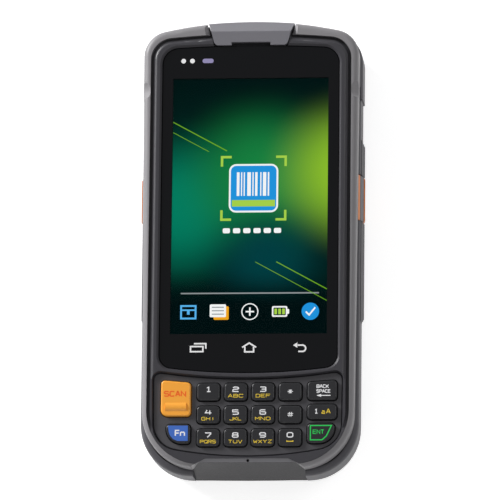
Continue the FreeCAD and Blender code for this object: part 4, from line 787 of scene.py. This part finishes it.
displayPiece("dock_disc", blueLight, 0, plates=[circleOutline(20.4, dy, 2.9)])
displayPiece("dock_tick", whiteLight, 1, ribbons=[
    ([(18.9, dy - 0.1), (20.0, dy - 1.2), (22.0, dy + 1.3)], 0.55, False)])
print("stage: display")


# prints and small windows on the glass

glassTop = round(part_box("touch_glass")[1].z / mm, 2)
glassInk = {"thick": 0.015, "weight": 0.5, "y": -35.5, "turnX": 18.0, "turnDown": 0.25, "turnRadius": 1.05}
sensor = {"y": 61.65, "slotLeft": -16.2, "slotRight": -12.5, "slotHalf": 0.75, "slotCorner": 0.7,
          "dots": (-22.55, -19.6), "dotRadius": 0.8}
gy = glassInk["y"]


def glassPiece(name, material, plates=(), lines=()):
    # lines: each one's points, and whether it is closed
    mesh = bmesh.new()
    high = glassTop + glassInk["thick"]
    for outline in plates:
        addPlate(mesh, outline, glassTop, high)
    for points, closed in lines:
        addRibbon(mesh, points, glassInk["weight"], glassTop, high, closed)
    bmesh.ops.translate(mesh, verts=mesh.verts, vec=(0, display["shift"] * mm, 0))
    return finishPiece(name, mesh, material, "case")


iconInk = inkPrint("GlassScreenInkWhite", "#f7f7f8", 0.3)
glassPiece("touch_recents", iconInk, lines=[
    ([(-19.0, gy - 1.2), (-14.9, gy - 1.2), (-14.9, gy + 0.5), (-19.0, gy + 0.5)], True),
    ([(-17.9, gy + 1.45), (-13.95, gy + 1.45), (-13.95, gy - 0.2)], False)])
glassPiece("touch_home", iconInk, lines=[
    ([(-1.9, gy + 0.15), (0.4, gy + 1.6), (2.7, gy + 0.15)], False),
    ([(-1.05, gy + 0.35), (-1.05, gy - 1.35), (1.85, gy - 1.35), (1.85, gy + 0.35)], False)])
backTurn = []
for degrees in range(90, -91, -20):
    angle = math.radians(degrees)
    backTurn.append((glassInk["turnX"] + glassInk["turnRadius"] * math.cos(angle),
                     gy - glassInk["turnDown"] + glassInk["turnRadius"] * math.sin(angle)))
glassPiece("touch_back", iconInk, plates=[[(14.9, gy + 0.8), (16.3, gy + 1.7), (16.3, gy - 0.1)]],
           lines=[([(16.2, gy + 0.8)] + backTurn + [(16.6, gy - 1.3)], False)])
sensorTint = inkPrint("SensorWindowCoating", "#9a93bd", 0.2)
glassPiece("sensor_slot", sensorTint, plates=[
    roundedOutline(sensor["slotLeft"], sensor["slotRight"], sensor["y"] - sensor["slotHalf"],
                   sensor["y"] + sensor["slotHalf"], sensor["slotCorner"])])
glassPiece("sensor_dots", iconInk, plates=[
    circleOutline(x, sensor["y"], sensor["dotRadius"]) for x in sensor["dots"]])
print("stage: glass prints")


# floor, light and camera

studio = {
    "floorHalf": 6.0, "floorDown": 0.0002, "floor": "#e2e2e2", "floorGlow": 0.7,
    "fibre": 2, "fibreDeep": 0.01,
    "skyTop": 0.2, "skyEdge": 0.45, "skyFrom": 0.15, "skyTo": 0.9,
    "keyAt": (-1.6, 1.1, 0.7), "keySize": 0.7, "keyPower": 52.0,
    "fillAt": (0.9, 0.4, 1.3), "fillSize": 0.6, "fillPower": 3.5,
    "lowAt": (0.0, -1.0, 1.2), "lowSize": 0.7, "lowPower": 2.5,
}


def paleFloor():
    # matt white paper: the camera sees it near white, and the shadow stays on it
    material, tree = newMaterial("PaperFloorWhite")
    place = addNode(tree, "ShaderNodeTexCoord").outputs["Object"]
    fibre = addNode(tree, "ShaderNodeTexNoise", {"Vector": place, "Scale": 1 / (studio["fibre"] * mm),
                                                 "Detail": 3.0})
    bump = addNode(tree, "ShaderNodeBump", {"Height": fibre.outputs["Fac"], "Strength": 0.3,
                                            "Distance": studio["fibreDeep"] * mm})
    sight = addNode(tree, "ShaderNodeLightPath")
    seen = addNode(tree, "ShaderNodeMath", {
        0: sight.outputs["Is Camera Ray"], 1: sight.outputs["Is Glossy Ray"]},
        operation="MAXIMUM").outputs["Value"]
    seen = addNode(tree, "ShaderNodeMath", {0: seen, 1: sight.outputs["Is Transmission Ray"]},
                   operation="MAXIMUM").outputs["Value"]
    lift = addNode(tree, "ShaderNodeMath", {0: seen, 1: studio["floorGlow"]},
                   operation="MULTIPLY").outputs["Value"]
    shader = addNode(tree, "ShaderNodeBsdfPrincipled", {
        "Base Color": toLinear(studio["floor"]), "Roughness": 0.9, "IOR": 1.45,
        "Normal": bump.outputs["Normal"],
        "Emission Color": (1.0, 1.0, 1.0, 1.0), "Emission Strength": lift})
    finishMaterial(tree, shader.outputs["BSDF"])
    return material


reach, down = studio["floorHalf"], -studio["floorDown"]
floorMesh = bpy.data.meshes.new("paper_floor")
floorMesh.from_pydata([(-reach, -reach, down), (reach, -reach, down), (reach, reach, down),
                       (-reach, reach, down)], [], [(0, 1, 2, 3)])
floorMesh.materials.append(paleFloor())
floor = bpy.data.objects.new("paper_floor", floorMesh)
bpy.context.scene.collection.objects.link(floor)


def softbox(name, at, size, power):
    lamp = bpy.data.lights.new(name, "AREA")
    lamp.size = size
    lamp.energy = power
    lamp.color = (1.0, 1.0, 1.0)
    holder = bpy.data.objects.new(name, lamp)
    holder.location = at
    holder.rotation_euler = (-Vector(at)).to_track_quat("-Z", "Y").to_euler()
    bpy.context.scene.collection.objects.link(holder)


for light in ("key", "fill", "low"):
    softbox(light + "_softbox", studio[light + "At"], studio[light + "Size"], studio[light + "Power"])

world = bpy.data.worlds.new("studio")
bpy.context.scene.world = world
world.use_nodes = True
sky = world.node_tree
sky.nodes.clear()
outward = addNode(sky, "ShaderNodeTexCoord").outputs["Generated"]
upward = addNode(sky, "ShaderNodeSeparateXYZ", {"Vector": outward})
height = addNode(sky, "ShaderNodeMapRange", {
    "Value": upward.outputs["Z"], "From Min": studio["skyFrom"], "From Max": studio["skyTo"],
    "To Min": studio["skyEdge"], "To Max": studio["skyTop"]},
    interpolation_type="SMOOTHSTEP").outputs["Result"]
sightLine = addNode(sky, "ShaderNodeLightPath").outputs["Is Camera Ray"]
strength = addNode(sky, "ShaderNodeMath", {0: height, 1: sightLine}, operation="MAXIMUM").outputs["Value"]
glow = addNode(sky, "ShaderNodeBackground", {"Color": (1.0, 1.0, 1.0, 1.0), "Strength": strength})
addNode(sky, "ShaderNodeOutputWorld", {"Surface": glow.outputs["Background"]})

# where the camera stands and aims, in degrees and metres, and its lens in millimetres
shot = {"target": (0.0, display["middle"] * mm, 0.024), "right": 5.2, "below": 11.7, "roll": 0.608,
        "distance": 1.6, "aimDown": 0.01481, "aimRight": 0.00017, "lens": 348.02, "sensor": 36.0,
        "near": 0.05, "far": 50.0}
target = Vector(shot["target"])
right = math.radians(shot["right"])
below = math.radians(shot["below"])
away = Vector((math.sin(right) * math.cos(below), -math.sin(below), math.cos(right) * math.cos(below)))
eye = target + away * shot["distance"]
pictureUp = Vector((0, 1, 0))
pictureUp = (pictureUp - away * pictureUp.dot(away)).normalized()
pictureUp = Matrix.Rotation(math.radians(shot["roll"]), 3, away) @ pictureUp
pictureRight = pictureUp.cross(away).normalized()
aim = target - pictureUp * shot["aimDown"] + pictureRight * shot["aimRight"]
back = (eye - aim).normalized()
sideways = pictureUp.cross(back).normalized()
upright = back.cross(sideways)
camera = bpy.data.cameras.new("camera")
camera.lens = shot["lens"]
camera.sensor_width = shot["sensor"]
camera.clip_start = shot["near"]
camera.clip_end = shot["far"]
cameraHolder = bpy.data.objects.new("camera", camera)
cameraHolder.matrix_world = Matrix.Translation(eye) @ Matrix((sideways, upright, back)).transposed().to_4x4()
bpy.context.scene.collection.objects.link(cameraHolder)
bpy.context.scene.camera = cameraHolder
bpy.context.scene.view_settings.view_transform = "Standard"
print("stage: floor, light and camera")
